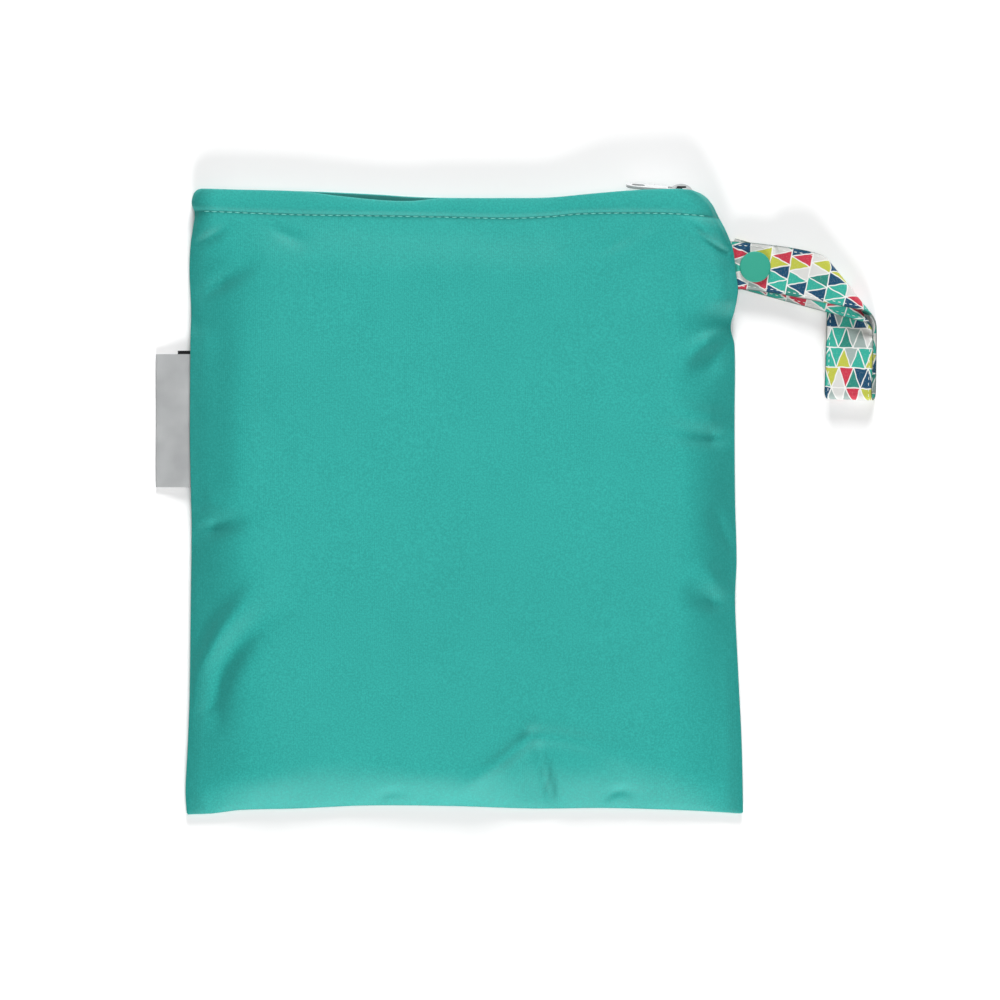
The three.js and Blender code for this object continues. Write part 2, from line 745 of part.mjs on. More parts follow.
function snapBackCap() {
  const tip = snapCapThickness + strapThickness + 2 * pieceGap + studBase / 2;
  return turned([
    [0, 0],
    [snapRadius * 0.94, 0],
    [snapRadius, 0.25],
    [snapRadius, snapCapThickness],
    [snapProngRadius, snapCapThickness],
    [snapProngRadius, tip],
    [0, tip],
  ]);
}

function snapStud() {
  const bore = snapProngRadius + pieceGap;
  const top = studBase + studHeight;
  return turned([
    [bore, 0],
    [snapRadius * 0.8, 0],
    [snapRadius * 0.8, studBase * 0.7],
    [snapRadius * 0.7, studBase],
    [studRadius, studBase],
    [studRadius, top - 0.3],
    [studRadius - 0.3, top],
    [bore, top],
    [bore, 0],
  ]);
}

function snapSocket() {
  const bore = studRadius + pieceGap;
  return turned([
    [bore, 0],
    [snapRadius * 0.72, 0],
    [snapRadius * 0.84, socketThickness * 0.4],
    [snapRadius * 0.84, socketThickness],
    [bore, socketThickness],
    [bore, 0],
  ]);
}

// Strap: a ribbon sewn into the right seam. It runs over the snap, folds under
// itself along a slanted line, turns back at the bottom of its loop and returns
// to the snap, with its free end under the pouch. Each of its two layers is a
// flat ribbon wrapped round the slanted fold.
const strapSeamX = rightX(strapSeamY);
const foldPoint = new THREE.Vector2(strapSeamX + strapReach, strapSeamY - strapDrop);
const foldZ = foldRadius + strapThickness / 2;
const innerFoldPoint = foldPoint.clone().add(new THREE.Vector2(innerFoldX, innerFoldY));
const upperLayer = makeLayer(foldPoint, degToRad(strapHeading), foldRadius);
const lowerLayer = makeLayer(innerFoldPoint, degToRad(freeEndHeading), innerFoldRadius);
const fanLength = 12.2;
const snapFlat = snapRadius + 0.1;
const bendStart = 12;
const bendRadius = 198;

function makeLayer(point, heading, radius) {
  const axis = (heading + hangHeading) / 2;
  return {
    point,
    radius,
    forward: new THREE.Vector2(Math.cos(heading), Math.sin(heading)),
    left: new THREE.Vector2(-Math.sin(heading), Math.cos(heading)),
    axis: new THREE.Vector2(Math.cos(axis), Math.sin(axis)),
    outward: new THREE.Vector2(-Math.sin(axis), Math.cos(axis)),
    lean: heading - axis,
    wrapEnd: Math.PI * radius / Math.sin(heading - axis),
  };
}

// A point of a layer, `along` the ribbon from its fold and `across` it, and the
// direction away from the fold's core there.
function onLayer(layer, along, across, height) {
  const { point, radius, forward, left, axis, outward, lean } = layer;
  const reach = along * Math.sin(lean) + across * Math.cos(lean);
  const slide = along * Math.cos(lean) - across * Math.sin(lean);
  const turn = clamp(reach / radius, 0, Math.PI);
  const beyond = Math.max(reach - Math.PI * radius, 0);
  const sideways = radius * Math.sin(turn) + Math.min(reach, 0) - beyond;
  const plan = point.clone().addScaledVector(axis, slide).addScaledVector(outward, sideways);
  if (layer === upperLayer && along < -bendStart) {
    const angle = (-bendStart - along) / bendRadius;
    plan.copy(point).addScaledVector(forward, -bendStart).addScaledVector(left, -bendRadius);
    plan.addScaledVector(left, (bendRadius + across) * Math.cos(angle));
    plan.addScaledVector(forward, -(bendRadius + across) * Math.sin(angle));
  }
  const core = new THREE.Vector3(outward.x * Math.sin(turn), outward.y * Math.sin(turn), Math.cos(turn));
  const wrapped = turn > 0 && turn < Math.PI;
  return { place: new THREE.Vector3(plan.x, plan.y, wrapped ? foldZ + radius * core.z : height), away: core };
}

// Rungs cross the ribbon square to it, and fan out to lie along the fold.
function rung(layer, along, slant, height, sign) {
  const lean = slant / Math.tan(layer.lean);
  return [-1, 1].map((edge) => {
    const across = edge * strapWidth / 2;
    const { place, away } = onLayer(layer, along - lean * across, across, height);
    return { place, out: away.multiplyScalar(sign) };
  });
}

function layerRungs(layer, { sign, start, riseFrom, startZ, snapZ, endAlong, endZ }) {
  const snapAlong = -(layer.point.x - (strapSeamX + snapReach)) / layer.forward.x;
  const before = snapAlong - snapFlat;
  const after = snapAlong + snapFlat;
  const topZ = foldZ + layer.radius;
  const lowZ = foldZ - layer.radius;
  const rungs = [];
  const add = (along, slant, height) => rungs.push(rung(layer, along, slant, height, sign));
  for (const along of [start, ...spread(start, riseFrom, 2), ...spread(riseFrom, before, 6)]) {
    add(along, 0, lerp(startZ, snapZ, smoothstep(along, riseFrom, before)));
  }
  for (const along of spread(before, after, 4)) {
    add(along, 0, snapZ);
  }
  const fanEnd = after + fanLength;
  for (const along of spread(after, fanEnd, 4)) {
    const slant = (along - after) / fanLength;
    add(along, slant, lerp(snapZ, topZ, smoothstep(along, after, 0)));
  }
  for (const along of spread(fanEnd, 0, 2)) {
    add(along, 1, lerp(snapZ, topZ, smoothstep(along, after, 0)));
  }
  for (const along of spread(0, layer.wrapEnd, 10)) {
    add(along, 1, lowZ);
  }
  const hangFlat = layer.wrapEnd + fanLength;
  const hangZ = (along) => lerp(lowZ, endZ, smoothstep(along, layer.wrapEnd, endAlong));
  for (const along of spread(layer.wrapEnd, hangFlat, 4)) {
    add(along, 1 - (along - layer.wrapEnd) / fanLength, hangZ(along));
  }
  for (const along of spread(hangFlat, endAlong, 4)) {
    add(along, 0, hangZ(along));
  }
  return rungs;
}

function strap() {
  const bottomZ = strapThickness / 2;
  const loopTopZ = bottomZ + 2 * loopRadius;
  const hangY = foldPoint.y - strapHang;
  const endAlong = (layer) => {
    const wrapped = onLayer(layer, layer.wrapEnd, 0, 0).place.y;
    return layer.wrapEnd + (hangY - wrapped) / Math.sin(hangHeading);
  };
  const seamZ = seamLift + clothThickness + pieceGap + strapThickness / 2;
  const seamAlong = (layer) => -(layer.point.x - strapSeamX) / layer.forward.x;
  const upper = layerRungs(upperLayer, {
    sign: 1,
    start: seamAlong(upperLayer) - strapSewnIn,
    riseFrom: seamAlong(upperLayer) - strapSeamRise,
    startZ: seamZ,
    snapZ: highStrapZ,
    endAlong: endAlong(upperLayer),
    endZ: bottomZ,
  });
  const lower = layerRungs(lowerLayer, {
    sign: -1,
    start: seamAlong(lowerLayer) - strapSewnIn / 2,
    riseFrom: seamAlong(lowerLayer),
    startZ: lowStrapZ,
    snapZ: lowStrapZ,
    endAlong: endAlong(lowerLayer),
    endZ: loopTopZ,
  });
  const down = new THREE.Vector3(Math.cos(hangHeading), Math.sin(hangHeading), 0);
  const turnRungs = spread(0, Math.PI, 9).slice(0, -1).map((angle) => [0, 1].map((edge) => {
    const from = upper[upper.length - 1][edge].place;
    const to = lower[lower.length - 1][edge].place;
    const out = down.clone().multiplyScalar(Math.sin(angle)).add(new THREE.Vector3(0, 0, -Math.cos(angle)));
    const place = from.clone().lerp(to, (1 - Math.cos(angle)) / 2).setZ(bottomZ + loopRadius);
    return { place: place.addScaledVector(out, loopRadius), out };
  }));
  const outlines = [...upper, ...turnRungs, ...lower.reverse()].map(([near, far]) => [
    [near, -1], [far, -1], [far, 1], [near, 1],
  ].map(([{ place, out }, face]) => place.clone().addScaledVector(out, face * strapThickness / 2)));
  const ribbon = toSolid(loft(outlines, (point) => new THREE.Vector2(point.y, point.z)));
  const holeRadius = snapProngRadius + pieceGap;
  const hole = new THREE.CylinderGeometry(holeRadius, holeRadius, 4 * foldZ, 12);
  hole.rotateX(Math.PI / 2);
  hole.translate(snapPlace.x, snapPlace.y, 0);
  return toGeometry(ribbon.subtract(toSolid(hole)));
}

const snapPlace = onLayer(upperLayer, -(strapReach - snapReach) / upperLayer.forward.x, 0, 0).place;

// Label and tab: flat strips sewn into the left seam that sag past its edge.
function strip({ reach, thickness, low, high, middleZ }) {
  const seamX = leftX(labelY);
  const inner = seamX + labelSewnIn;
  const outer = seamX - reach;
  const outlines = [inner, seamX, ...spread(seamX, outer, 5)].map((x) => {
    const sag = labelDroop * smoothstep(seamX - x, 0, labelReach);
    return [[low, -1], [high, -1], [high, 1], [low, 1]].map(([y, face]) => (
      new THREE.Vector3(x, y, middleZ - sag + face * thickness / 2)));
  });
  return loft(outlines, acrossX);
}

const tabZ = clothThickness + pieceGap + tabThickness / 2;
const labelZ = tabZ + tabThickness / 2 + pieceGap + labelThickness / 2;
const labelTop = labelY + labelHeight / 2;

function material(colour, roughness, metalness = 0) {
  return new THREE.MeshStandardMaterial({ color: colour, roughness, metalness });
}

const knit = material(0x33a8a1, 0.82);
const hemmedKnit = material(0x2fa39b, 0.82);
const whiteTape = material(0xeceded, 0.85);
const whiteCoil = material(0xf4f4f4, 0.45);
const whitePaint = material(0xf2f2f0, 0.35);
const printedCotton = material(0x7fb5a8, 0.9);
const greenPlastic = material(0x4aa887, 0.4);
const greySatin = material(0xb9bcbb, 0.6);
const blackTape = material(0x181a1a, 0.85);

const wetBag = new THREE.Group();

function place(name, geometry, surface, x = 0, y = 0, z = 0) {
  const mesh = new THREE.Mesh(geometry, surface);
  mesh.name = name;
  mesh.position.set(x, y, z);
  wetBag.add(mesh);
  return mesh;
}

const frontColumns = 32;
const backColumns = 13;
place('front_panel', panel(frontColumns, 'front', frontOuter, frontInner), knit);
place('back_panel', panel(backColumns, 'back', backInner, backLift), hemmedKnit);
place('zip_tape_front', tape(1), whiteTape);
place('zip_tape_back', tape(-1), whiteTape);
place('zip_coil_front', coil(1), whiteCoil);
place('zip_coil_back', coil(-1), whiteCoil);

const sliderY = zipY(sliderX);
const sliderZ = chainZ(sliderX);
const pinX = sliderX + sliderFront - archLength / 2;
const pinY = sliderY + plateTop + archWindowHeight / 2;
place('zip_slider', slider(), whitePaint, sliderX, sliderY, sliderZ);
const pullMesh = place('zip_pull', pull(), whitePaint, pinX, pinY, sliderZ);
pullMesh.rotation.set(degToRad(pullTilt), 0, degToRad(-pullRise));

place('strap', strap(), printedCotton);
place('snap_back_cap', snapBackCap(), greenPlastic, snapPlace.x, snapPlace.y, 0);
place('snap_stud', snapStud(), greenPlastic, snapPlace.x, snapPlace.y, studZ);
place('snap_socket', snapSocket(), greenPlastic, snapPlace.x, snapPlace.y, socketZ);
place('snap_cap', snapCap(), greenPlastic, snapPlace.x, snapPlace.y, capZ);

place('care_label', strip({
  reach: labelReach,
  thickness: labelThickness,
  low: labelTop - labelHeight,
  high: labelTop,
  middleZ: labelZ,
}), greySatin);
place('black_tab', strip({
  reach: tabReach,
  thickness: tabThickness,
  low: labelTop + tabAbove - tabHeight,
  high: labelTop + tabAbove,
  middleZ: tabZ,
}), blackTape);

export default wetBag;
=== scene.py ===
import math

import bpy
import numpy as np
from bpy.props import FloatProperty, FloatVectorProperty, IntProperty, PointerProperty
from mathutils import Matrix, Vector, noise


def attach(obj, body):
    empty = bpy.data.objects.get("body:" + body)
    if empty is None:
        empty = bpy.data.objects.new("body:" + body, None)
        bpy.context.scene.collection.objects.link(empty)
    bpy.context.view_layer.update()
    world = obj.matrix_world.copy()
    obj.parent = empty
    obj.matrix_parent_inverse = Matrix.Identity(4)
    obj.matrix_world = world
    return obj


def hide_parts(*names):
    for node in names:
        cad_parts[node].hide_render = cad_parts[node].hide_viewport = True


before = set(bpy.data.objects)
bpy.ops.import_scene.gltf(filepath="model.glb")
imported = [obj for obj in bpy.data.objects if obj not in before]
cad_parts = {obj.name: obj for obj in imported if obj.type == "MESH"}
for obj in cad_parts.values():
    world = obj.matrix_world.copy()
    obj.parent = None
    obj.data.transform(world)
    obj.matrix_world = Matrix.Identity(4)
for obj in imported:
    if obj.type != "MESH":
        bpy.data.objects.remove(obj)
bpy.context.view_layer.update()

bl_info = {
    "name": "Zipped Wet Bag",
    "version": (1, 0, 0),
    "blender": (4, 5, 0),
    "location": "View3D > Sidebar > Wet Bag",
    "description": "Sews the cloth, zip, strap and finishes of a small wet bag over its CAD frame",
    "category": "Object",
}

# Outline of the sewn pouch: the share up or across, then how far the edge stands
# outside the plain rectangle, as a share of the rectangle's size that way.
LEFT_EDGE = (
    (0, 0.0064), (0.035, 0.0082), (0.099, 0.0045), (0.18, 0.001), (0.309, -0.001),
    (0.47, -0.0027), (0.6, 0), (0.76, -0.001), (0.809, -0.002), (0.873, 0.001), (0.914, -0.001),
    (0.941, -0.0055), (0.965, -0.009), (0.981, -0.0036), (0.998, -0.008), (1.006, -0.018),
)
RIGHT_EDGE = (
    (0, 0.0073), (0.051, 0.0064), (0.115, 0.0045), (0.18, 0.001), (0.244, -0.0027),
    (0.341, -0.0073), (0.406, -0.0045), (0.502, -0.0073), (0.631, -0.0082), (0.752, -0.0082),
    (0.781, -0.0155), (0.809, -0.0082), (0.841, -0.0027), (0.873, -0.0072), (0.906, -0.0118),
    (0.935, -0.0245), (0.964, -0.041), (0.978, -0.049), (0.994, -0.0645), (1.002, -0.078),
)
BOTTOM_EDGE = (
    (0, 0.0056), (0.041, 0.004), (0.092, -0.0016), (0.194, -0.004), (0.321, -0.0089),
    (0.474, -0.0081), (0.626, -0.004), (0.746, -0.0048), (0.837, -0.0032), (0.928, 0),
    (1, 0.004),
)
# Share across, then the front and the back hem's edge.
MOUTH_EDGE = (
    (0.019, 0.0056, 0.0056), (0.092, 0.0032, 0.0032), (0.201, 0, 0.0016),
    (0.274, -0.0073, -0.0008), (0.346, -0.0137, -0.004), (0.401, -0.0153, -0.0073),
    (0.455, -0.0113, -0.0089), (0.565, -0.0105, -0.0094), (0.652, -0.0097, -0.0093),
    (0.728, -0.004, -0.0035), (0.801, 0.0016, 0.0011), (0.855, 0.004, 0.0035),
    (0.91, 0.0032, 0.0027), (0.935, -0.004, -0.0045),
)
# Share across, then the share of the hem depth below the plain rectangle's top.
STITCH_LINE = (
    (0.03, 0.79), (0.19, 0.93), (0.35, 0.98), (0.47, 1.03), (0.58, 1.08), (0.655, 1.01),
    (0.71, 0.91), (0.81, 0.88), (0.89, 0.92), (0.963, 1.07),
)
ZIP_LINE = (
    (0.03, 0.38), (0.2, 0.45), (0.35, 0.7), (0.5, 0.74), (0.65, 0.72), (0.75, 0.55),
    (0.82, 0.42), (0.84, 0.39), (0.95, 0.39),
)
# Folds of the front: start, middle and end as shares of half the pouch, the rise
# as a share of the pocket depth, the spread as a share of the pouch width, and
# how strong the fold is at its start and at its end.
FOLDS = (
    (0.965, 0.544, 0.867, 0.505, 0.762, 0.431, 0.252, 0.015, 1, 0),
    (0.976, 0.482, 0.875, 0.437, 0.747, 0.347, -0.184, 0.021, 1, 0),
    (0.973, 0.273, 0.827, 0.282, 0.667, 0.321, 0.161, 0.017, 1, 0),
    (0.98, 0.205, 0.82, 0.211, 0.624, 0.25, -0.252, 0.017, 1, 0),
    (0.976, -0.276, 0.907, -0.247, 0.827, -0.198, 0.184, 0.015, 1, 0),
    (0.984, -0.334, 0.885, -0.321, 0.784, -0.279, -0.252, 0.016, 1, 0),
    (0.984, -0.15, 0.944, -0.092, 0.904, -0.002, -0.173, 0.013, 1, 0),
    (0.787, 0.934, 0.856, 0.863, 0.951, 0.805, -0.13, 0.0065, 0.7, 1),
    (0.485, 0.753, 0.595, 0.805, 0.718, 0.902, 0.103, 0.026, 0, 0.6),
    (0.464, 0.792, 0.536, 0.824, 0.616, 0.876, -0.092, 0.012, 0, 0.2),
    (-0.991, 0.663, -0.867, 0.715, -0.729, 0.792, -0.218, 0.015, 1, 0),
    (-0.998, 0.831, -0.918, 0.856, -0.816, 0.944, -0.184, 0.012, 1, 0.5),
    (-0.722, 0.927, -0.656, 0.869, -0.547, 0.818, -0.173, 0.014, 0.9, 0),
    (-1.005, -0.105, -0.882, -0.079, -0.722, -0.034, -0.298, 0.016, 1, 0),
    (-1.005, -0.008, -0.889, 0.005, -0.736, 0.005, 0.103, 0.018, 1, 0),
    (-0.991, -0.653, -0.911, -0.447, -0.635, -0.195, 0.275, 0.018, 0.9, 0),
    (-0.918, -0.692, -0.831, -0.479, -0.555, -0.273, -0.193, 0.024, 0.5, 0),
    (-1.005, -0.685, -0.955, -0.679, -0.896, -0.637, -0.173, 0.008, 1, 0),
    (-0.009, -0.937, 0.122, -0.84, 0.245, -0.756, 0.196, 0.015, 0.2, 0.8),
    (0.245, -0.756, 0.435, -0.776, 0.667, -0.847, 0.142, 0.018, 0.8, 0),
    (0.267, -0.782, 0.296, -0.873, 0.322, -0.989, -0.151, 0.01, 0.4, 1),
    (-0.133, -0.653, 0.02, -0.479, 0.129, -0.285, 0.069, 0.055, 0, 0),
    (-0.762, 0.34, -0.715, 0.263, -0.627, 0.127, -0.058, 0.028, 0.1, 0),
    (0.493, -0.989, 0.558, -0.931, 0.653, -0.963, -0.115, 0.01, 0.8, 0),
    (-0.336, -0.989, -0.264, -0.937, -0.184, -0.969, -0.092, 0.01, 0.8, 0),
)
# Share up, then how wide the front's slope is beside the left and the right seam.
SIDE_RAMPS = (
    (0.02, 0.046, 0.048), (0.15, 0.038, 0.044), (0.32, 0.033, 0.03), (0.45, 0.029, 0.026),
    (0.6, 0.027, 0.028), (0.7, 0.029, 0.03), (0.82, 0.038, 0.034), (0.95, 0.045, 0.04),
)
# Share across, then how wide the front's slope is above the bottom seam.
BOTTOM_RAMP = (
    (0.02, 0.014), (0.12, 0.016), (0.255, 0.021), (0.437, 0.016), (0.56, 0.019), (0.62, 0.026),
    (0.7, 0.021), (0.82, 0.022), (0.93, 0.016), (0.99, 0.014),
)


def length(name, description, default):
    """A size that the sidebar shows in the scene's length unit."""
    return FloatProperty(
        name=name, description=description, default=default, unit="LENGTH", precision=5
    )


def colour(name, description, default):
    """A colour that the sidebar shows as a swatch."""
    return FloatVectorProperty(
        name=name, description=description, default=default, subtype="COLOR", size=3, min=0, max=1
    )


def linear(red, green, blue):
    """A colour given in screen values from 0 to 255, by the usual screen curve."""
    return tuple(
        (value / 255 / 12.92) if value <= 10 else ((value / 255 + 0.055) / 1.055) ** 2.4
        for value in (red, green, blue)
    )


class WetBagSizes(bpy.types.PropertyGroup):
    """Sizes of the bag's cloth, zip and strap."""

    pouch_width: length("Pouch width", "Width of the plain pouch", 0.22)
    pouch_height: length("Pouch height", "Height of the plain pouch", 0.248)
    cloth: length("Cloth", "Thickness of the coated knit", 0.001)
    hem_cloth: length("Hem cloth", "Thickness of the folded hem", 0.0013)
    pocket_depth: length("Pocket depth", "Most space between the two panels", 0.009)
    hem_depth: length("Hem depth", "From the mouth's edge to its topstitching", 0.01)
    hem_puff: length("Hem puff", "How far the hem rounds up", 0.0005)
    gap: length("Gap", "Least space between two pieces", 0.0003)
    hem_stitch: length("Hem stitch", "Length of one hem stitch with its gap", 0.0031)
    thread: length("Thread", "Thickness of the sewing thread", 0.00042)
    tooth_pitch: length("Tooth pitch", "From one coil tooth to the next", 0.0013)
    strap_width: length("Strap width", "Width of the strap", 0.019)
    strap_cloth: length("Strap cloth", "Thickness of the folded cotton strap", 0.001)
    strap_stitch: length("Strap stitch", "Length of one strap stitch with its gap", 0.0023)
    print_row: length("Print row", "Height of one row of printed triangles", 0.008)
    print_base: length("Print base", "Width of one printed triangle", 0.0058)
    snap_width: length("Snap width", "Width of the press snap's cap", 0.0124)
    panel_columns: IntProperty(
        name="Panel columns", description="Columns of the front panel", default=170
    )
    panel_rows: IntProperty(
        name="Panel rows", description="Rows of the front panel below its hem", default=180
    )


class WetBagColours(bpy.types.PropertyGroup):
    """Colours of the bag's finishes."""

    knit: colour("Knit", "The coated knit", linear(12, 144, 136))
    knit_light: colour("Knit fuzz", "Lighter loops of the knit", linear(46, 180, 171))
    thread: colour("Thread", "The hem's thread", linear(112, 208, 196))
    strap_thread: colour("Strap thread", "The strap's thread", linear(222, 230, 224))
    print_teal: colour("Print teal", "The print's main colour", linear(44, 160, 142))
    print_green: colour("Print green", "The print's darker green", linear(34, 126, 112))
    print_navy: colour("Print navy", "The print's blue", linear(6, 66, 98))
    print_red: colour("Print red", "The print's red", linear(186, 48, 68))
    print_lime: colour("Print lime", "The print's yellow green", linear(176, 180, 64))
    print_grey: colour("Print grey", "The print's grey", linear(148, 164, 160))
    print_white: colour("Print white", "The print's ground", linear(222, 222, 219))
    snap: colour("Snap", "The press snap", linear(40, 148, 126))
    enamel: colour("Enamel", "Slider and pull", linear(188, 190, 191))
    # Colour of the dark leaf that paints the shade in the slider's arch window.
    steel: colour("Steel", "The slider's locking leaf", linear(34, 36, 38))
    tape: colour("Tape", "Zip tape and coil", linear(232, 232, 230))
    label: colour("Label", "Satin of the label", linear(152, 154, 155))
    tab: colour("Tab", "Black tape", linear(26, 26, 28))
    floor: colour("Floor", "The pale floor", linear(250, 250, 250))


def sizes():
    return bpy.context.scene.wet_bag_sizes


def colours():
    return bpy.context.scene.wet_bag_colours


def scaled(tone, share):
    """A tone made darker or lighter."""
    return tuple(share * value for value in tone)


def shade_of(name, share=1.0):
    """One of the bag's colours, or a darker or lighter shade of it."""
    return scaled(getattr(colours(), name), share)


# ---------------------------------------------------------------- shape of the pouch

def mix(start, end, share):
    return start + (end - start) * share


def smoothstep(value, start, end):
    share = np.clip((value - start) / (end - start), 0, 1)
    return share * share * (3 - 2 * share)


class Curve:
    """A smooth curve through the rows of a table, flat past its two ends."""

    def __init__(self, rows, column=1):
        self.along = np.array([row[0] for row in rows], float)
        self.values = np.array([row[column] for row in rows], float)
        places = np.arange(len(rows))
        before, after = np.maximum(places - 1, 0), np.minimum(places + 1, len(rows) - 1)
        rises = self.values[after] - self.values[before]
        self.slopes = rises / (self.along[after] - self.along[before])

    def __call__(self, where):
        place = np.clip(where, self.along[0], self.along[-1])
        index = np.searchsorted(self.along[1:-1], place, side="left")
        span = self.along[index + 1] - self.along[index]
        share = (place - self.along[index]) / span
        bend = (1 - share) * self.slopes[index] - share * self.slopes[index + 1]
        eased = mix(self.values[index], self.values[index + 1], smoothstep(share, 0, 1))
        return eased + bend * span * share * (1 - share)


def ripple(along, length_scale, seed=0.0):
    """Small uneven waves between -1 and 1 along a seam."""
    place = along / length_scale
    waves = np.sin(6.1 * place + 1.3 + seed) + np.sin(3.9 * place + 4.1 + 2 * seed)
    return (waves + np.sin(2.3 * place + 2.2 - seed)) / 3


def clouds(x, y, scale, seed=0.0):
    """Smooth noise over a grid of points, between about -1 and 1."""
    spots = zip(x.ravel() / scale, y.ravel() / scale)
    return np.array([noise.noise(Vector((*spot, seed))) for spot in spots]).reshape(x.shape)


def slope(height, step):
    """How steep a surface is, from its heights a step on either side."""
    return (height(step) - height(-step)) / (2 * step)


class Pouch:
    """Heights and edges of the two sewn panels, in metres."""

    # Below the topstitching, the mouth's gap passes into the pocket's over this height.
    mouth_ramp = 0.024
    hem_step, stitch_groove = 0.002, 0.00018
    chain_width, chain_spread, flange = 0.005, 0.00085, 0.0007
    left_round, right_round = 0.009, 0.0045
    slider_inset, slider_room, pull_reach, mouth_easing = 0.0242, 0.0001, 0.024, 0.032
    strap_below_mouth, label_below_mouth = 0.0302, 0.0916
    label_height, tab_above = 0.0532, 0.0014
    # How far the strap and the label push the seams open and lift the back, and where
    # that holds and fades: along the seam, and inwards from it.
    strap_push, label_push, seam_lift = 0.0017, 0.0021, 0.0024
    strap_zone_rise, strap_full, strap_faded = 0.001, 0.003, 0.013
    label_full, label_fade = 0.0025, 0.012
    push_full, push_faded = 0.006, 0.018
    lift_full, lift_faded = 0.008, 0.022
    # Folds are drawn through this many places, wider where they are weaker.
    fold_places, fold_width, fold_narrowing = 9, 1.5, 0.6
    slope_step, steepest = 0.0005, 1.5
    # The knit's own waves: height, scale and seed. They calm down towards the seams
    # and the topstitching, where puckers take over.
    waves = ((0.0006, 0.034, 3.0), (0.00014, 0.011, 8.0))
    calm_by_stitches, calm_by_seam = (0.001, 0.012), (0.002, 0.02)
    seam_pucker, seam_reach, seam_start, seam_end = 0.00028, 0.006, 0.002, 0.01
    stitch_pucker, stitch_reach = 0.00012, 0.0035
    seam_pucker_pitch, stitch_pucker_pitch = 0.0105, 0.0088
    # How strongly a panel's columns and rows crowd towards its edges, and how often
    # the grid is fitted to the outline.
    column_crowding, row_crowding, fittings = 0.5, 0.25, 10

    def __init__(self, given):
        self.width, self.height = given.pouch_width, given.pouch_height
        self.cloth, self.hem_cloth, self.gap = given.cloth, given.hem_cloth, given.gap
        self.pocket_depth = given.pocket_depth
        self.hem_depth, self.hem_puff = given.hem_depth, given.hem_puff
        self.strap_layer = given.strap_cloth + given.gap
        self.strap_half = given.strap_width / 2
        self.left_out, self.right_out = Curve(LEFT_EDGE), Curve(RIGHT_EDGE)
        self.bottom_out, self.bottom_ramp = Curve(BOTTOM_EDGE), Curve(BOTTOM_RAMP)
        self.left_ramp, self.right_ramp = Curve(SIDE_RAMPS, 1), Curve(SIDE_RAMPS, 2)
        self.mouth_out = {"front": Curve(MOUTH_EDGE, 1), "back": Curve(MOUTH_EDGE, 2)}
        self.stitch_sink, self.zip_sink = Curve(STITCH_LINE), Curve(ZIP_LINE)
        self.slider_x = self.width / 2 - self.slider_inset
        self.strap_y = self.height / 2 - self.strap_below_mouth
        self.label_y = self.height / 2 - self.label_below_mouth
        self.slider_half = self.chain_width / 2 + self.chain_spread + self.gap + self.flange

    def left_x(self, y):
        return -self.width * (0.5 + self.left_out(y / self.height + 0.5))

    def right_x(self, y):
        return self.width * (0.5 + self.right_out(y / self.height + 0.5))

    def bottom_y(self, x):
        return -self.height * (0.5 + self.bottom_out(x / self.width + 0.5))

    def mouth_y(self, x, side):
        return self.height * (0.5 + self.mouth_out[side](x / self.width + 0.5))

    def stitch_y(self, x):
        return self.height / 2 - self.hem_depth * self.stitch_sink(x / self.width + 0.5)

    def zip_y(self, x):
        return self.height / 2 - self.hem_depth * self.zip_sink(x / self.width + 0.5)

    def in_strap_zone(self, y):
        away = np.abs(y - self.strap_y - self.strap_zone_rise)
        return 1 - smoothstep(
            away, self.strap_half + self.strap_full, self.strap_half + self.strap_faded
        )

    def in_label_zone(self, y):
        away = np.abs(y - self.label_y - self.tab_above / 2)
        half = self.label_height / 2 + self.tab_above + self.label_full
        return 1 - smoothstep(away, half, half + self.label_fade)

    def seam_opening(self, x, y):
        by_right = 1 - smoothstep(self.right_x(y) - x, self.push_full, self.push_faded)
        by_left = 1 - smoothstep(x - self.left_x(y), self.push_full, self.push_faded)
        strap = (self.strap_layer + self.strap_push) * self.in_strap_zone(y)
        return strap * by_right + self.label_push * self.in_label_zone(y) * by_left

    def back_lift(self, x, y):
        near = 1 - smoothstep(self.right_x(y) - x, self.lift_full, self.lift_faded)
        return self.seam_lift * self.in_strap_zone(y) * near

    def wall(self, x, y):
        in_hem = np.clip((y - self.stitch_y(x)) / self.hem_step, 0, 1)
        return mix(self.cloth, self.hem_cloth, in_hem)

    def mouth_gap(self, x, y):
        easing_end = self.slider_x - self.pull_reach
        widening = smoothstep(x, easing_end - self.mouth_easing, easing_end)
        plain = self.chain_width + 2 * self.gap
        at_slider = 2 * (self.slider_half + self.gap) + self.slider_room
        left = 1 - np.clip((x - self.left_x(y)) / self.left_round, 0, 1)
        right = 1 - np.clip((self.right_x(y) - x) / self.right_round, 0, 1)
        ends = np.sqrt(1 - left ** 2) * np.sqrt(1 - right ** 2)
        return (mix(plain, at_slider, widening) - self.gap) * ends

    def pocket_gap(self, x, y):
        def rise(share):
            return np.sin(math.pi / 2 * np.clip(share, 0, 1))
        up, over = y / self.height + 0.5, x / self.width + 0.5
        left = rise((x - self.left_x(y)) / self.left_ramp(up))
        right = rise((self.right_x(y) - x) / self.right_ramp(up))
        bottom = rise((y - self.bottom_y(x)) / self.bottom_ramp(over))
        return self.pocket_depth * (left * right) * bottom

    def panel_gap(self, x, y):
        below = smoothstep(self.stitch_y(x) - y, 0, self.mouth_ramp)
        space = mix(self.mouth_gap(x, y), self.pocket_gap(x, y), below)
        return self.gap + np.hypot(space, self.seam_opening(x, y))

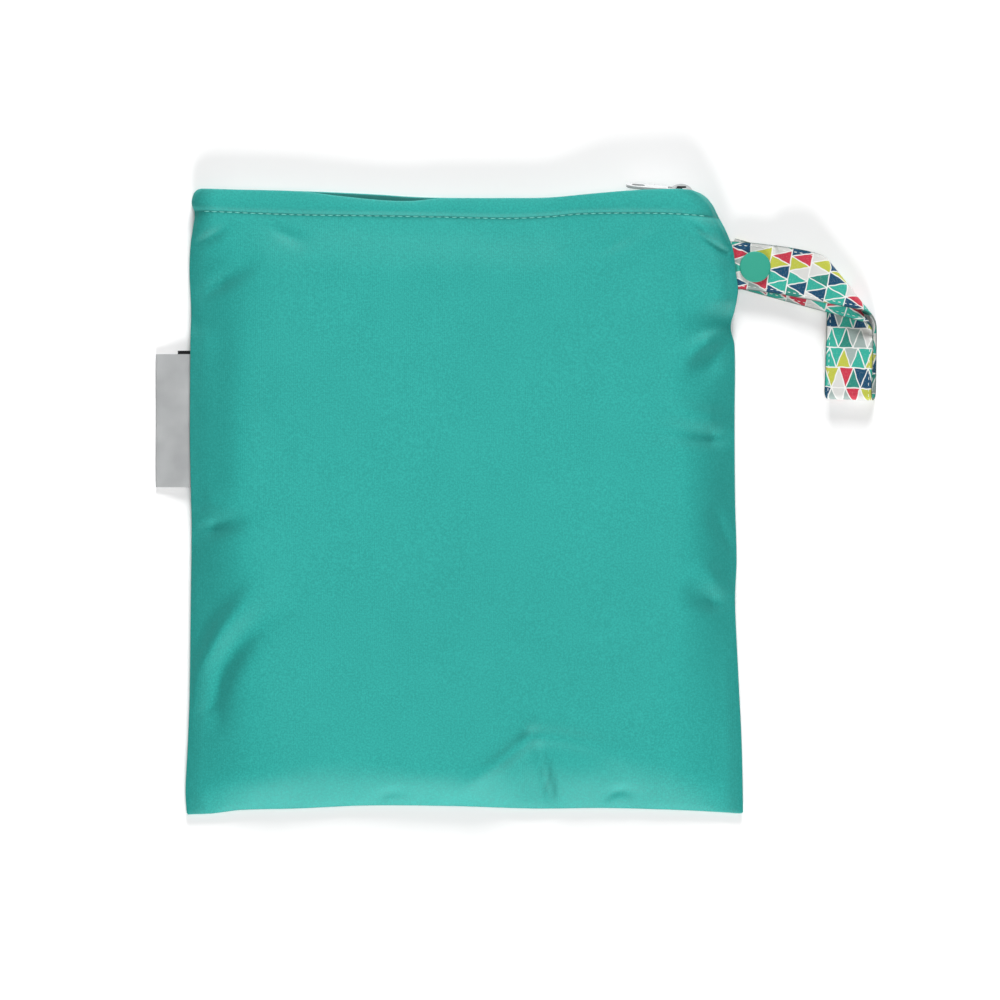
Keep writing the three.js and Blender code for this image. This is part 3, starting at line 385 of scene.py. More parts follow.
    def fold_height(self, x, y):
        """Tapered folds: each follows a bent line, and widens as it fades out."""
        height = np.zeros_like(x)
        half = np.array((self.width / 2, self.height / 2))
        places = np.linspace(0, 1, self.fold_places)[:, None]
        for fold in FOLDS:
            start, middle, end = (np.array(fold[k:k + 2]) * half for k in (0, 2, 4))
            rise, spread, at_start, at_end = fold[6:]
            bend = 2 * middle - (start + end) / 2
            line = (1 - places) ** 2 * start + 2 * places * (1 - places) * bend + places ** 2 * end
            nearest, travelled = np.full(x.shape, np.inf), np.zeros_like(x)
            for number, (here, there) in enumerate(zip(line, line[1:])):
                run = there - here
                along = (x - here[0]) * run[0] + (y - here[1]) * run[1]
                share = np.clip(along / (run @ run), 0, 1)
                away = np.hypot(x - here[0] - share * run[0], y - here[1] - share * run[1])
                closer = away < nearest
                nearest = np.where(closer, away, nearest)
                travelled = np.where(closer, (number + share) / (len(line) - 1), travelled)
            first, last = math.asin(at_start), math.pi - math.asin(at_end)
            strength = np.sin(mix(first, last, travelled))
            wide = spread * self.width * (self.fold_width - self.fold_narrowing * strength)
            height += rise * self.pocket_depth * strength * np.exp(-(nearest / wide) ** 2)
        return height

    def back_inner(self, x, y):
        return self.back_lift(x, y) + self.wall(x, y)

    def front_inner(self, x, y):
        gap = self.panel_gap(x, y)
        loose = np.clip((gap - self.gap) / (self.pocket_depth / 2), 0, 1)
        loose = loose * smoothstep(self.stitch_y(x) - y, self.hem_step, self.hem_depth)
        return self.back_inner(x, y) + gap + loose * self.fold_height(x, y)

    def front_outer(self, x, y):
        slope_x = slope(lambda shift: self.front_inner(x + shift, y), self.slope_step)
        slope_y = slope(lambda shift: self.front_inner(x, y + shift), self.slope_step)
        steep = np.minimum(np.sqrt(1 + slope_x ** 2 + slope_y ** 2), self.steepest)
        stitch = self.stitch_y(x)
        hem = np.clip((y - stitch) / (self.mouth_y(x, "front") - stitch), 0, 1)
        away = (y - stitch) / (self.hem_depth / 4)
        finish = self.hem_puff * np.sin(math.pi * hem) - self.stitch_groove * np.exp(-away ** 2)
        return self.front_inner(x, y) + self.wall(x, y) * steep + finish

    def side_distance(self, x, y):
        """How far a point lies inside the nearer side seam."""
        return np.minimum(x - self.left_x(y), self.right_x(y) - x)

    def edge_distance(self, x, y):
        """How far a point lies inside the nearest sewn edge."""
        return np.minimum(self.side_distance(x, y), y - self.bottom_y(x))

    def cloth_relief(self, x, y):
        """The knit's own small waves, and the puckers beside its seams and stitches."""
        away = self.edge_distance(x, y)
        stitch = y - self.stitch_y(x)
        by_stitches = smoothstep(-stitch, *self.calm_by_stitches)
        open_cloth = by_stitches * smoothstep(away, *self.calm_by_seam)
        soft = sum(height * clouds(x, y, scale, seed) for height, scale, seed in self.waves)
        along = np.where(self.side_distance(x, y) < y - self.bottom_y(x), y, x)
        seam = self.seam_pucker * (1 + ripple(along, self.seam_pucker_pitch))
        seam = seam * np.exp(-(away / self.seam_reach) ** 2) * smoothstep(away, 0, self.seam_start)
        pucker = self.stitch_pucker * ripple(x, self.stitch_pucker_pitch, 2.0)
        pucker = pucker * np.exp(-(stitch / self.stitch_reach) ** 2)
        return soft * open_cloth + seam * smoothstep(-stitch, 0, self.seam_end) + pucker

    def grid(self, side, columns, rows, hem_rows, inset):
        """Places of a panel's points, which crowd towards its seams and its topstitching."""
        def crowded(count, strength):
            even = np.linspace(0, 1, count + 1)
            return even - strength * np.sin(2 * math.pi * even) / (2 * math.pi)
        share = crowded(columns, self.column_crowding)
        level = crowded(rows, self.row_crowding)[:, None]
        hem = np.linspace(0, 1, hem_rows + 1)[1:, None]
        x = np.tile(mix(-self.width / 2, self.width / 2, share), (rows + hem_rows + 1, 1))
        for _ in range(self.fittings):
            bottom, stitch = self.bottom_y(x) + inset, self.stitch_y(x)
            top = self.mouth_y(x, side) - inset
            y = np.vstack((mix(bottom[:rows + 1], stitch[:rows + 1], level),
                           mix(stitch[rows + 1:], top[rows + 1:], hem)))
            x = mix(self.left_x(y) + inset, self.right_x(y) - inset, share)
        return x, y


# ---------------------------------------------------------------- mesh helpers

def clear_selection():
    if bpy.context.object and bpy.context.object.mode != "OBJECT":
        bpy.ops.object.mode_set(mode="OBJECT")
    bpy.ops.object.select_all(action="DESELECT")


def pick(piece):
    """Makes a piece the only selected and active one."""
    clear_selection()
    piece.select_set(True)
    bpy.context.view_layer.objects.active = piece
    return piece


def settle(piece):
    """Puts a piece's place, turn and size into its mesh."""
    pick(piece)
    bpy.ops.object.transform_apply(location=True, rotation=True, scale=True)
    return piece


def apply_modifier(piece, kind, **settings):
    pick(piece)
    modifier = piece.modifiers.new(kind.title(), kind)
    for key, value in settings.items():
        setattr(modifier, key, value)
    bpy.ops.object.modifier_apply(modifier=modifier.name)


def finish_piece(piece, body, material, replaced=()):
    """Gives a piece its finish and hangs it on its body."""
    piece.data.materials.clear()
    piece.data.materials.append(material)
    if replaced:
        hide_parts(*replaced)
    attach(piece, body)
    clear_selection()
    return piece


def mesh_piece(name, points, faces, uv=None):
    """A smooth piece from points and faces, with its own map if `uv` has a spot for each corner."""
    mesh = bpy.data.meshes.new(name)
    mesh.from_pydata(points.tolist(), [], faces)
    if uv is not None:
        layer = mesh.uv_layers.new(name="Cloth")
        layer.data.foreach_set("uv", np.asarray(uv, np.float32).ravel())
    mesh.validate()
    mesh.shade_smooth()
    piece = bpy.data.objects.new(name, mesh)
    bpy.context.scene.collection.objects.link(piece)
    return piece


def paint(piece, name, values):
    """Stores a value at each of a piece's points, for its finish to read."""
    layer = piece.data.attributes.new(name, "FLOAT", "POINT")
    layer.data.foreach_set("value", values.astype(np.float32))


def grid_faces(index):
    """Four-cornered faces between the neighbours in a grid of point numbers."""
    corners = (index[:-1, :-1], index[:-1, 1:], index[1:, 1:], index[1:, :-1])
    return np.stack(corners, -1).reshape(-1, 4)


def face_outward(piece, merge=0.0):
    """Turns a closed piece's faces outward, once points closer than `merge` are joined."""
    pick(piece)
    bpy.ops.object.mode_set(mode="EDIT")
    bpy.ops.mesh.select_all(action="SELECT")
    if merge:
        bpy.ops.mesh.remove_doubles(threshold=merge)
    bpy.ops.mesh.normals_make_consistent(inside=False)
    bpy.ops.object.mode_set(mode="OBJECT")


def smooth_but(piece, sharp):
    """Shades a piece smooth, but for edges sharper than so many degrees."""
    pick(piece)
    bpy.ops.object.shade_smooth_by_angle(angle=math.radians(sharp))


def thin_sheet(name, rows, thickness):
    """A closed sheet of cloth, half its thickness on each side of a grid of points."""
    grid = np.array(rows)
    index = np.arange(grid.shape[0] * grid.shape[1]).reshape(grid.shape[:2])
    piece = mesh_piece(name, grid.reshape(-1, 3), grid_faces(index).tolist())
    apply_modifier(piece, "SOLIDIFY", thickness=thickness, offset=0)
    face_outward(piece)
    smooth_but(piece, sharp=50)
    return piece


def shell(name, outer, inner, uv, rim, rim_steps=5):
    """A wall between two grids of points, closed all round by a rounded rim."""
    rows, columns = outer.shape[:2]
    count = rows * columns
    index = np.arange(count).reshape(rows, columns)
    quads = grid_faces(index)
    loop = np.concatenate((index[0, :-1], index[:-1, -1], index[-1, :0:-1], index[:0:-1, 0]))
    inward = np.concatenate((index[1, :-1], index[:-1, -2], index[-2, :0:-1], index[:0:-1, 1]))
    flat_outer, flat_inner = outer.reshape(-1, 3), inner.reshape(-1, 3)
    away = flat_outer[loop] - flat_outer[inward]
    away[:, 2] = 0
    away /= np.maximum(np.linalg.norm(away, axis=1), 1e-9)[:, None]
    middle = (flat_outer[loop] + flat_inner[loop]) / 2
    half = (flat_outer[loop] - flat_inner[loop]) / 2
    rings = [loop]
    points = [flat_outer, flat_inner]
    for step in range(1, rim_steps):
        angle = math.pi * step / rim_steps
        points.append(middle + half * math.cos(angle) + away * rim * math.sin(angle))
        rings.append(2 * count + (step - 1) * len(loop) + np.arange(len(loop)))
    rings.append(loop + count)
    faces = [quads, quads[:, ::-1] + count]
    for upper, lower in zip(rings, rings[1:]):
        faces.append(np.stack((upper, lower, np.roll(lower, -1), np.roll(upper, -1)), -1))
    faces = np.vstack(faces)
    flat_uv = uv.reshape(-1, 2)
    all_uv = np.vstack([flat_uv, flat_uv] + [flat_uv[loop]] * (rim_steps - 1))
    return mesh_piece(name, np.vstack(points), faces.tolist(), all_uv[faces.ravel()])


def frame_matrix(place, along, up):
    """The place and turn of a small part that lies one way and faces another."""
    forward = Vector(along).normalized()
    side = Vector(up).cross(forward).normalized()
    top = forward.cross(side)
    turn = Matrix((forward, side, top)).transposed().to_4x4()
    return Matrix.Translation(Vector(place)) @ turn


def copies(name, original, places):
    """Copies of one part, each with its own mesh, joined into one piece."""
    made = []
    for place in places:
        copy = original.copy()
        copy.data = original.data.copy()
        bpy.context.scene.collection.objects.link(copy)
        copy.matrix_world = place
        made.append(copy)
    bpy.data.objects.remove(original)
    clear_selection()
    for copy in made:
        copy.select_set(True)
    bpy.context.view_layer.objects.active = made[0]
    bpy.ops.object.join()
    piece = bpy.context.object
    piece.name = piece.data.name = name
    return settle(piece)


def one_stitch(length_of, width):
    """A short plump length of thread that dips and narrows at both its ends."""
    end_dip, end_narrowing = 0.6, 0.2
    clear_selection()
    bpy.ops.mesh.primitive_uv_sphere_add(segments=6, ring_count=6, radius=1)
    stitch = bpy.context.object
    bpy.ops.object.mode_set(mode="EDIT")
    bpy.ops.transform.rotate(value=math.pi / 2, orient_axis="Y", center_override=(0, 0, 0))
    bpy.ops.transform.resize(value=(length_of / 2, width / 2, width / 2))
    bpy.ops.object.mode_set(mode="OBJECT")
    for vertex in stitch.data.vertices:
        share = vertex.co.x / (length_of / 2)
        vertex.co.z -= end_dip * width * share ** 4
        vertex.co.y *= 1 - end_narrowing * share ** 2
    stitch.data.shade_smooth()
    return stitch


def sew(name, lines, pitch, width, filled=0.82):
    """Stitches along lines of points, each with the cloth's direction outwards."""
    lean_most, lean_turn, stand_out = 0.05, 2.4, 0.12
    places = []
    for points, ups in lines:
        steps = np.linalg.norm(np.diff(points, axis=0), axis=1)
        travelled = np.concatenate(([0], np.cumsum(steps)))

        def at(spot, values):
            return np.array([np.interp(spot, travelled, values[:, k]) for k in range(3)])
        for number in range(int(travelled[-1] / pitch)):
            start, centre, end = (
                (share + number) * pitch for share in (0.5 - filled / 2, 0.5, 0.5 + filled / 2)
            )
            up = at(centre, ups)
            along = at(end, points) - at(start, points)
            lean = lean_most * math.sin(number * lean_turn) * np.cross(up, along)
            place = at(centre, points) + up * width * stand_out
            places.append(frame_matrix(place, along + lean, up))
    return copies(name, one_stitch(pitch * filled, width), places)


def turned(name, profile, place, sides):
    """A round part drawn from its profile: a first ring, then each next one extruded from it."""
    clear_selection()
    x, y, z = place
    first_radius, first_z = profile[0]
    bpy.ops.mesh.primitive_circle_add(
        vertices=sides, radius=first_radius, location=(x, y, z + first_z)
    )
    part = bpy.context.object
    part.name = part.data.name = name
    bpy.ops.object.mode_set(mode="EDIT")
    bpy.ops.mesh.select_all(action="SELECT")
    for (radius, height), (next_radius, next_height) in zip(profile, profile[1:]):
        rise = (0, 0, next_height - height)
        bpy.ops.mesh.extrude_edges_move(TRANSFORM_OT_translate={"value": rise})
        share = next_radius / radius
        centre = (x, y, z + next_height)
        bpy.ops.transform.resize(value=(share, share, 1), center_override=centre)
    face_outward(part, merge=0.00002)
    settle(part)
    smooth_but(part, sharp=40)
    return part


def copied_node(name, node, bevel):
    """A rounded copy of a CAD node, with its points joined and its flat faces made whole."""
    piece = bpy.data.objects.new(name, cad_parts[node].data.copy())
    piece.data.name = name
    bpy.context.scene.collection.objects.link(piece)
    pick(piece)
    bpy.ops.object.mode_set(mode="EDIT")
    bpy.ops.mesh.select_all(action="SELECT")
    bpy.ops.mesh.remove_doubles(threshold=0.00001)
    bpy.ops.mesh.dissolve_limited(angle_limit=math.radians(1.5))
    bpy.ops.object.mode_set(mode="OBJECT")
    apply_modifier(piece, "BEVEL", width=bevel, segments=3, limit_method="ANGLE",
                   angle_limit=math.radians(35), use_clamp_overlap=True, harden_normals=False)
    smooth_but(piece, sharp=32)
    return piece


# ---------------------------------------------------------------- materials

class Finish:
    """A material's nodes, added one at a time."""

    def __init__(self, name):
        self.material = bpy.data.materials.new(name)
        self.material.use_nodes = True
        self.tree = self.material.node_tree
        self.shader = self.tree.nodes["Principled BSDF"]

    def feed(self, socket, source):
        if isinstance(source, bpy.types.NodeSocket):
            self.tree.links.new(source, socket)
        elif source is not None:
            socket.default_value = source

    def node(self, kind, settings=None, **inputs):
        made = self.tree.nodes.new("ShaderNode" + kind)
        for key, value in (settings or {}).items():
            setattr(made, key, value)
        for key, source in inputs.items():
            self.feed(made.inputs[key.replace("_", " ")], source)
        return made

    def math(self, operation, *sources):
        made = self.node("Math", {"operation": operation})
        for socket, source in zip(made.inputs, sources):
            self.feed(socket, source)
        return made.outputs[0]

    def blend(self, share, first, second):
        made = self.node("Mix", {"data_type": "RGBA"})
        for place, source in ((0, share), (6, first), (7, second)):
            self.feed(made.inputs[place], (*source, 1) if isinstance(source, tuple) else source)
        return made.outputs[2]

    def spot(self):
        return self.node("TexCoord").outputs["Object"]

    def cloth_map(self):
        return self.node("UVMap", {"uv_map": "Cloth"}).outputs[0]

    def painted(self, name):
        return self.node("Attribute", {"attribute_name": name}).outputs["Fac"]

    def axes(self, vector):
        return self.node("SeparateXYZ", Vector=vector).outputs

    def noise(self, place, scale, detail=2.0, roughness=0.5):
        made = self.node("TexNoise", Vector=place, Scale=scale, Detail=detail, Roughness=roughness)
        return made.outputs["Fac"]

    def ramp(self, value, low, high, start=0.0, end=1.0):
        made = self.node("MapRange", Value=value, From_Min=low, From_Max=high,
                         To_Min=start, To_Max=end)
        return made.outputs[0]

    def mottle(self, tone, other, value, low, high, most):
        """Tints a tone by up to `most` with another, where a value rises from low to high."""
        return self.blend(self.ramp(value, low, high, 0.0, most), tone, other)

    def zigzag(self, value):
        """How far a value lies from the middle of its whole step."""
        return self.math("ABSOLUTE", self.math("SUBTRACT", self.math("FRACT", value), 0.5))

    def from_ends(self, share):
        """How far a share lies from the nearer of 0 and 1."""
        return self.math("MINIMUM", share, self.math("SUBTRACT", 1.0, share))

    def wave(self, value, length_of=1.0, kind="SINE"):
        return self.math(kind, self.math("MULTIPLY", value, 2 * math.pi / length_of))

    def bump(self, height, distance, strength):
        made = self.node("Bump", Height=height, Distance=distance, Strength=strength)
        return made.outputs[0]

    def done(self, tone, roughness, normal=None, **constants):
        self.feed(self.shader.inputs["Base Color"], tone)
        self.feed(self.shader.inputs["Roughness"], roughness)
        self.feed(self.shader.inputs["Normal"], normal)
        for key, value in constants.items():
            self.shader.inputs[key.replace("_", " ")].default_value = value
        return self.material


def knit_finish():
    """Brushed knit: fine columns of loops, fuzz, slow changes of shade, a painted shadow along the
    stitching, and painted shade read from the cloth's points.
    """
    column_width, loop_height, loop_slant = 0.00085, 0.0007, 1.5
    groove_middle, groove_edge, groove_painted_shadow = 0.00015, 0.0006, 0.5
    made = Finish("soft_knit")
    place = made.spot()
    axes = made.axes(place)
    leg = made.zigzag(made.math("MULTIPLY", axes[0], 1 / column_width))
    rows = made.math("MULTIPLY", axes[1], 1 / loop_height)
    loops = made.wave(made.math("ADD", rows, made.math("MULTIPLY", leg, loop_slant)))
    column = made.wave(leg, kind="COSINE")
    knit = made.math("MULTIPLY_ADD", loops, 0.35, made.math("MULTIPLY", column, -0.5))
    fuzz = made.noise(place, 1400.0, 3.0, 0.7)
    patches = made.noise(place, 60.0, 3.0)
    shade = made.noise(place, 9.0, 1.0)
    tone = made.mottle(shade_of("knit"), shade_of("knit_light"), fuzz, 0.4, 0.72, 0.62)
    tone = made.mottle(tone, shade_of("knit_light"), patches, 0.3, 0.75, 0.1)
    tone = made.mottle(tone, shade_of("knit", 0.8), shade, 0.45, 0.75, 0.16)
    # Painted shadow in the needle groove: the knit darkens close to the hem's stitch line.
    from_stitches = made.math("ABSOLUTE", made.axes(made.cloth_map())[1])
    groove = made.ramp(from_stitches, groove_middle, groove_edge, groove_painted_shadow, 0.0)
    tone = made.blend(groove, tone, shade_of("knit", 0.4))
    # Painted shade read from the cloth's points: where the front falls away, beside its seams, on
    # its rim, and inside on the darker coated side.
    tone = made.mottle(tone, shade_of("knit", 0.45), made.painted("nap"), 0.0, 2.0, 0.9)
    height = made.math("MULTIPLY_ADD", fuzz, 1.2, made.math("MULTIPLY", knit, 0.3))
    return made.done(tone, made.ramp(fuzz, 0.3, 0.8, 0.56, 0.74),
                     made.bump(height, 0.00012, 0.55),
                     Specular_IOR_Level=0.4, Sheen_Weight=0.06, Sheen_Roughness=0.45)


def thread_finish(name, tint):
    """Twisted thread with a soft shine."""
    made = Finish(name)
    place = made.spot()
    twist = made.node("TexWave", {"bands_direction": "DIAGONAL"},
                      Vector=place, Scale=700.0, Distortion=1.0).outputs["Fac"]
    tone = made.blend(made.math("MULTIPLY", twist, 0.25), tint, scaled(tint, 0.75))
    return made.done(tone, made.ramp(made.noise(place, 900.0), 0.3, 0.7, 0.5, 0.7),
                     made.bump(twist, 0.00005, 0.5), Specular_IOR_Level=0.4)


def print_finish():
    """Plain-woven cotton with rows of hand-cut triangles between pale lines, on its own map, with a
    painted shadow along the strap's edges.
    """
    waver_size, waver_reach = 260.0, (0.0008, 0.001, 0)
    line_core, line_edge, yarn = 0.00016, 0.0003, 0.00055
    made = Finish("printed_cotton")
    given = sizes()
    cloth = made.cloth_map()
    waver = made.node("TexNoise", Vector=cloth, Scale=waver_size, Detail=1.0).outputs["Color"]
    shift = made.node("VectorMath", {"operation": "MULTIPLY_ADD"})
    for socket, source in zip(shift.inputs, (waver, waver_reach, cloth)):
        made.feed(socket, source)
    axes = made.axes(shift.outputs[0])
    level = made.math("MULTIPLY", axes[1], 1 / given.print_row)
    row = made.math("FLOOR", level)
    share = made.math("FRACT", level)
    offset = made.node("TexWhiteNoise", {"noise_dimensions": "1D"}, W=row).outputs["Value"]
    across = made.math("MULTIPLY_ADD", axes[0], 1 / given.print_base, offset)
    left = made.math("SUBTRACT", across, made.math("MULTIPLY", share, 0.5))
    right = made.math("MULTIPLY_ADD", share, 0.5, across)
    key = made.node("CombineXYZ", X=row, Y=made.math("FLOOR", left),
                    Z=made.math("FLOOR", right)).outputs[0]
    lot = made.node("TexWhiteNoise", {"noise_dimensions": "3D"}, Vector=key).outputs["Value"]
    tints = made.node("ValToRGB", Fac=lot)
    tints.color_ramp.interpolation = "CONSTANT"
    steps = ((0.0, shade_of("print_teal")), (0.33, shade_of("print_navy")),
             (0.5, shade_of("print_red")), (0.62, shade_of("print_lime")),
             (0.74, shade_of("print_grey")), (0.83, shade_of("print_green")),
             (0.88, shade_of("print_white", 0.8)))
    stops = tints.color_ramp.elements
    while len(stops) < len(steps):
        stops.new(1.0)
    for stop, (start, tint) in zip(stops, steps):
        stop.position = start
        stop.color = (*tint, 1)
    by_left, by_right = (
        made.math("MULTIPLY", made.from_ends(made.math("FRACT", side)), given.print_base)
        for side in (left, right)
    )
    by_row = made.math("MULTIPLY", made.from_ends(share), given.print_row)
    nearest = made.math("MINIMUM", made.math("MINIMUM", by_left, by_right), by_row)
    line = made.ramp(nearest, line_core, line_edge, 1.0, 0.0)
    weave = made.math("MULTIPLY", made.wave(axes[0], yarn), made.wave(axes[1], yarn))
    speckle = made.noise(cloth, 1500.0, 2.0, 0.6)
    tone = made.blend(line, tints.outputs["Color"], shade_of("print_white"))
    tone = made.mottle(tone, shade_of("print_white"), speckle, 0.5, 0.85, 0.14)
    # Painted shadow along the strap's edges, where its layers meet: the print darkens to a deep
    # teal there.
    tone = made.mottle(tone, shade_of("print_teal", 0.12), made.painted("worn"), 0.0, 1.0, 0.8)
    return made.done(tone, made.ramp(speckle, 0.2, 0.8, 0.78, 0.92),
                     made.bump(made.math("MULTIPLY_ADD", weave, 0.5, speckle), 0.00008, 0.6),
                     Specular_IOR_Level=0.25, Sheen_Weight=0.08)


def plastic_finish():
    """Moulded satin plastic with a faint grain."""
    made = Finish("snap_plastic")
    place = made.spot()
    grain = made.noise(place, 2200.0)
    tone = made.mottle(shade_of("snap"), shade_of("snap", 1.15), made.noise(place, 220.0),
                       0.35, 0.7, 0.12)
    return made.done(tone, made.ramp(grain, 0.3, 0.7, 0.55, 0.66),
                     made.bump(grain, 0.00002, 0.4), Specular_IOR_Level=0.35)


def enamel_finish():
    """Sprayed white enamel: slightly uneven, a little darker in random places."""
    made = Finish("white_enamel")
    place = made.spot()
    peel = made.noise(place, 1800.0)
    tone = made.mottle(shade_of("enamel"), linear(176, 176, 172),
                       made.noise(place, 700.0, 3.0, 0.7), 0.6, 0.78, 0.18)
    return made.done(tone, made.ramp(peel, 0.3, 0.7, 0.26, 0.36), made.bump(peel, 0.00003, 0.3),
                     Specular_IOR_Level=0.5, Coat_Weight=0.3, Coat_Roughness=0.15)


def shade_leaf_finish():
    """Dark metal-like finish of the leaf that paints the shade in the slider's arch window."""
    made = Finish("dark_steel")
    grain = made.noise(made.spot(), 2600.0)
    tone = made.mottle(shade_of("steel"), linear(58, 60, 62), grain, 0.3, 0.7, 0.4)
    return made.done(tone, made.ramp(grain, 0.3, 0.7, 0.42, 0.55), Metallic=0.6)


def tape_finish(name, tint, bands=0.0006):
    """Narrow woven tape with a herringbone of fine ribs."""
    made = Finish(name)
    place = made.spot()
    axes = made.axes(place)
    leg = made.zigzag(made.math("MULTIPLY", axes[0], 1 / (2 * bands)))
    depth = made.math("MULTIPLY", made.math("ADD", axes[1], axes[2]), 1 / bands)
    rib = made.wave(made.math("ADD", depth, leg))
    speckle = made.noise(place, 1600.0)
    tone = made.mottle(tint, scaled(tint, 0.82), rib, -1.0, 1.0, 0.2)
    return made.done(tone, made.ramp(speckle, 0.3, 0.7, 0.78, 0.9),
                     made.bump(made.math("MULTIPLY_ADD", rib, 0.5, speckle), 0.00008, 0.6),
                     Specular_IOR_Level=0.25, Sheen_Weight=0.1)


def coil_finish():
    """Satin nylon, a little milky."""
    made = Finish("coil_nylon")
    grain = made.noise(made.spot(), 1500.0)
    tone = made.mottle(shade_of("tape"), linear(214, 216, 214), grain, 0.3, 0.7, 0.15)
    return made.done(tone, made.ramp(grain, 0.3, 0.7, 0.34, 0.46),
                     made.bump(grain, 0.00002, 0.3), Specular_IOR_Level=0.5)


def satin_finish():
    """Label satin: fine threads across it, and a soft shine."""
    thread_pitch = 0.00034
    made = Finish("label_satin")
    place = made.spot()
    threads = made.wave(made.axes(place)[1], thread_pitch)
    speckle = made.noise(place, 1300.0)
    tone = made.mottle(shade_of("label"), linear(204, 206, 206), made.noise(place, 70.0),
                       0.35, 0.7, 0.3)
    return made.done(tone, made.ramp(speckle, 0.3, 0.7, 0.5, 0.62),
                     made.bump(made.math("MULTIPLY_ADD", threads, 0.5, speckle), 0.00005, 0.4),
                     Specular_IOR_Level=0.4, Sheen_Weight=0.12)


def floor_finish():
    """A pale matt sweep of paper."""
    made = Finish("pale_floor")
    grain = made.noise(made.spot(), 400.0)
    tone = made.mottle(shade_of("floor"), linear(252, 252, 252), grain, 0.3, 0.7, 0.02)
    return made.done(tone, 0.9, Specular_IOR_Level=0.1)


# ---------------------------------------------------------------- strap and zip

class StrapLayer:
    """A flat ribbon wrapped round a slanted fold."""

    # The fold's core lies so high that the cloth wrapped round it rests on the floor.
    fold_radius, half_cloth = 0.0042, 0.0005
    fold_z = fold_radius + half_cloth
    bend_start, bend_radius = 0.012, 0.198

    def __init__(self, point, heading, hang, radius, bent):
        lean_axis = (heading + hang) / 2
        self.point, self.radius, self.bent = np.array(point), radius, bent
        self.forward = np.array((math.cos(heading), math.sin(heading)))
        self.left = np.array((-math.sin(heading), math.cos(heading)))
        self.axis = np.array((math.cos(lean_axis), math.sin(lean_axis)))
        self.outward = np.array((-math.sin(lean_axis), math.cos(lean_axis)))
        self.lean = heading - lean_axis
        self.wrap_end = math.pi * radius / math.sin(self.lean)

    def along_at(self, x):
        """How far along the ribbon's straight run a place across the bag lies."""
        return -(self.point[0] - x) / self.forward[0]

    def at(self, along, across, height):
        """Points along and across the ribbon, with the direction away from the fold's core."""
        reach = along * math.sin(self.lean) + across * math.cos(self.lean)
        slide = along * math.cos(self.lean) - across * math.sin(self.lean)
        turn = np.clip(reach / self.radius, 0, math.pi)
        beyond = np.maximum(reach - math.pi * self.radius, 0)
        sideways = self.radius * np.sin(turn) + np.minimum(reach, 0) - beyond
        plan = self.point + slide[..., None] * self.axis + sideways[..., None] * self.outward
        if self.bent:
            angle = ((-self.bend_start - along) / self.bend_radius)[..., None]
            arm = (self.bend_radius + across)[..., None]
            centre = self.point - self.forward * self.bend_start - self.left * self.bend_radius
            curved = centre + arm * (self.left * np.cos(angle) - self.forward * np.sin(angle))
            plan = np.where((along < -self.bend_start)[..., None], curved, plan)
        core = np.stack((self.outward[0] * np.sin(turn), self.outward[1] * np.sin(turn),
                         np.cos(turn)), -1)
        wrapped = (turn > 0) & (turn < math.pi)
        z = np.where(wrapped, self.fold_z + self.radius * core[..., 2], height)
        return np.concatenate((plan, z[..., None]), -1), core

    def spot(self, along):
        """The point on the ribbon's middle line at one distance along it, seen from above."""
        return self.at(np.array(along), np.array(0.0), np.array(0.0))[0][:2]


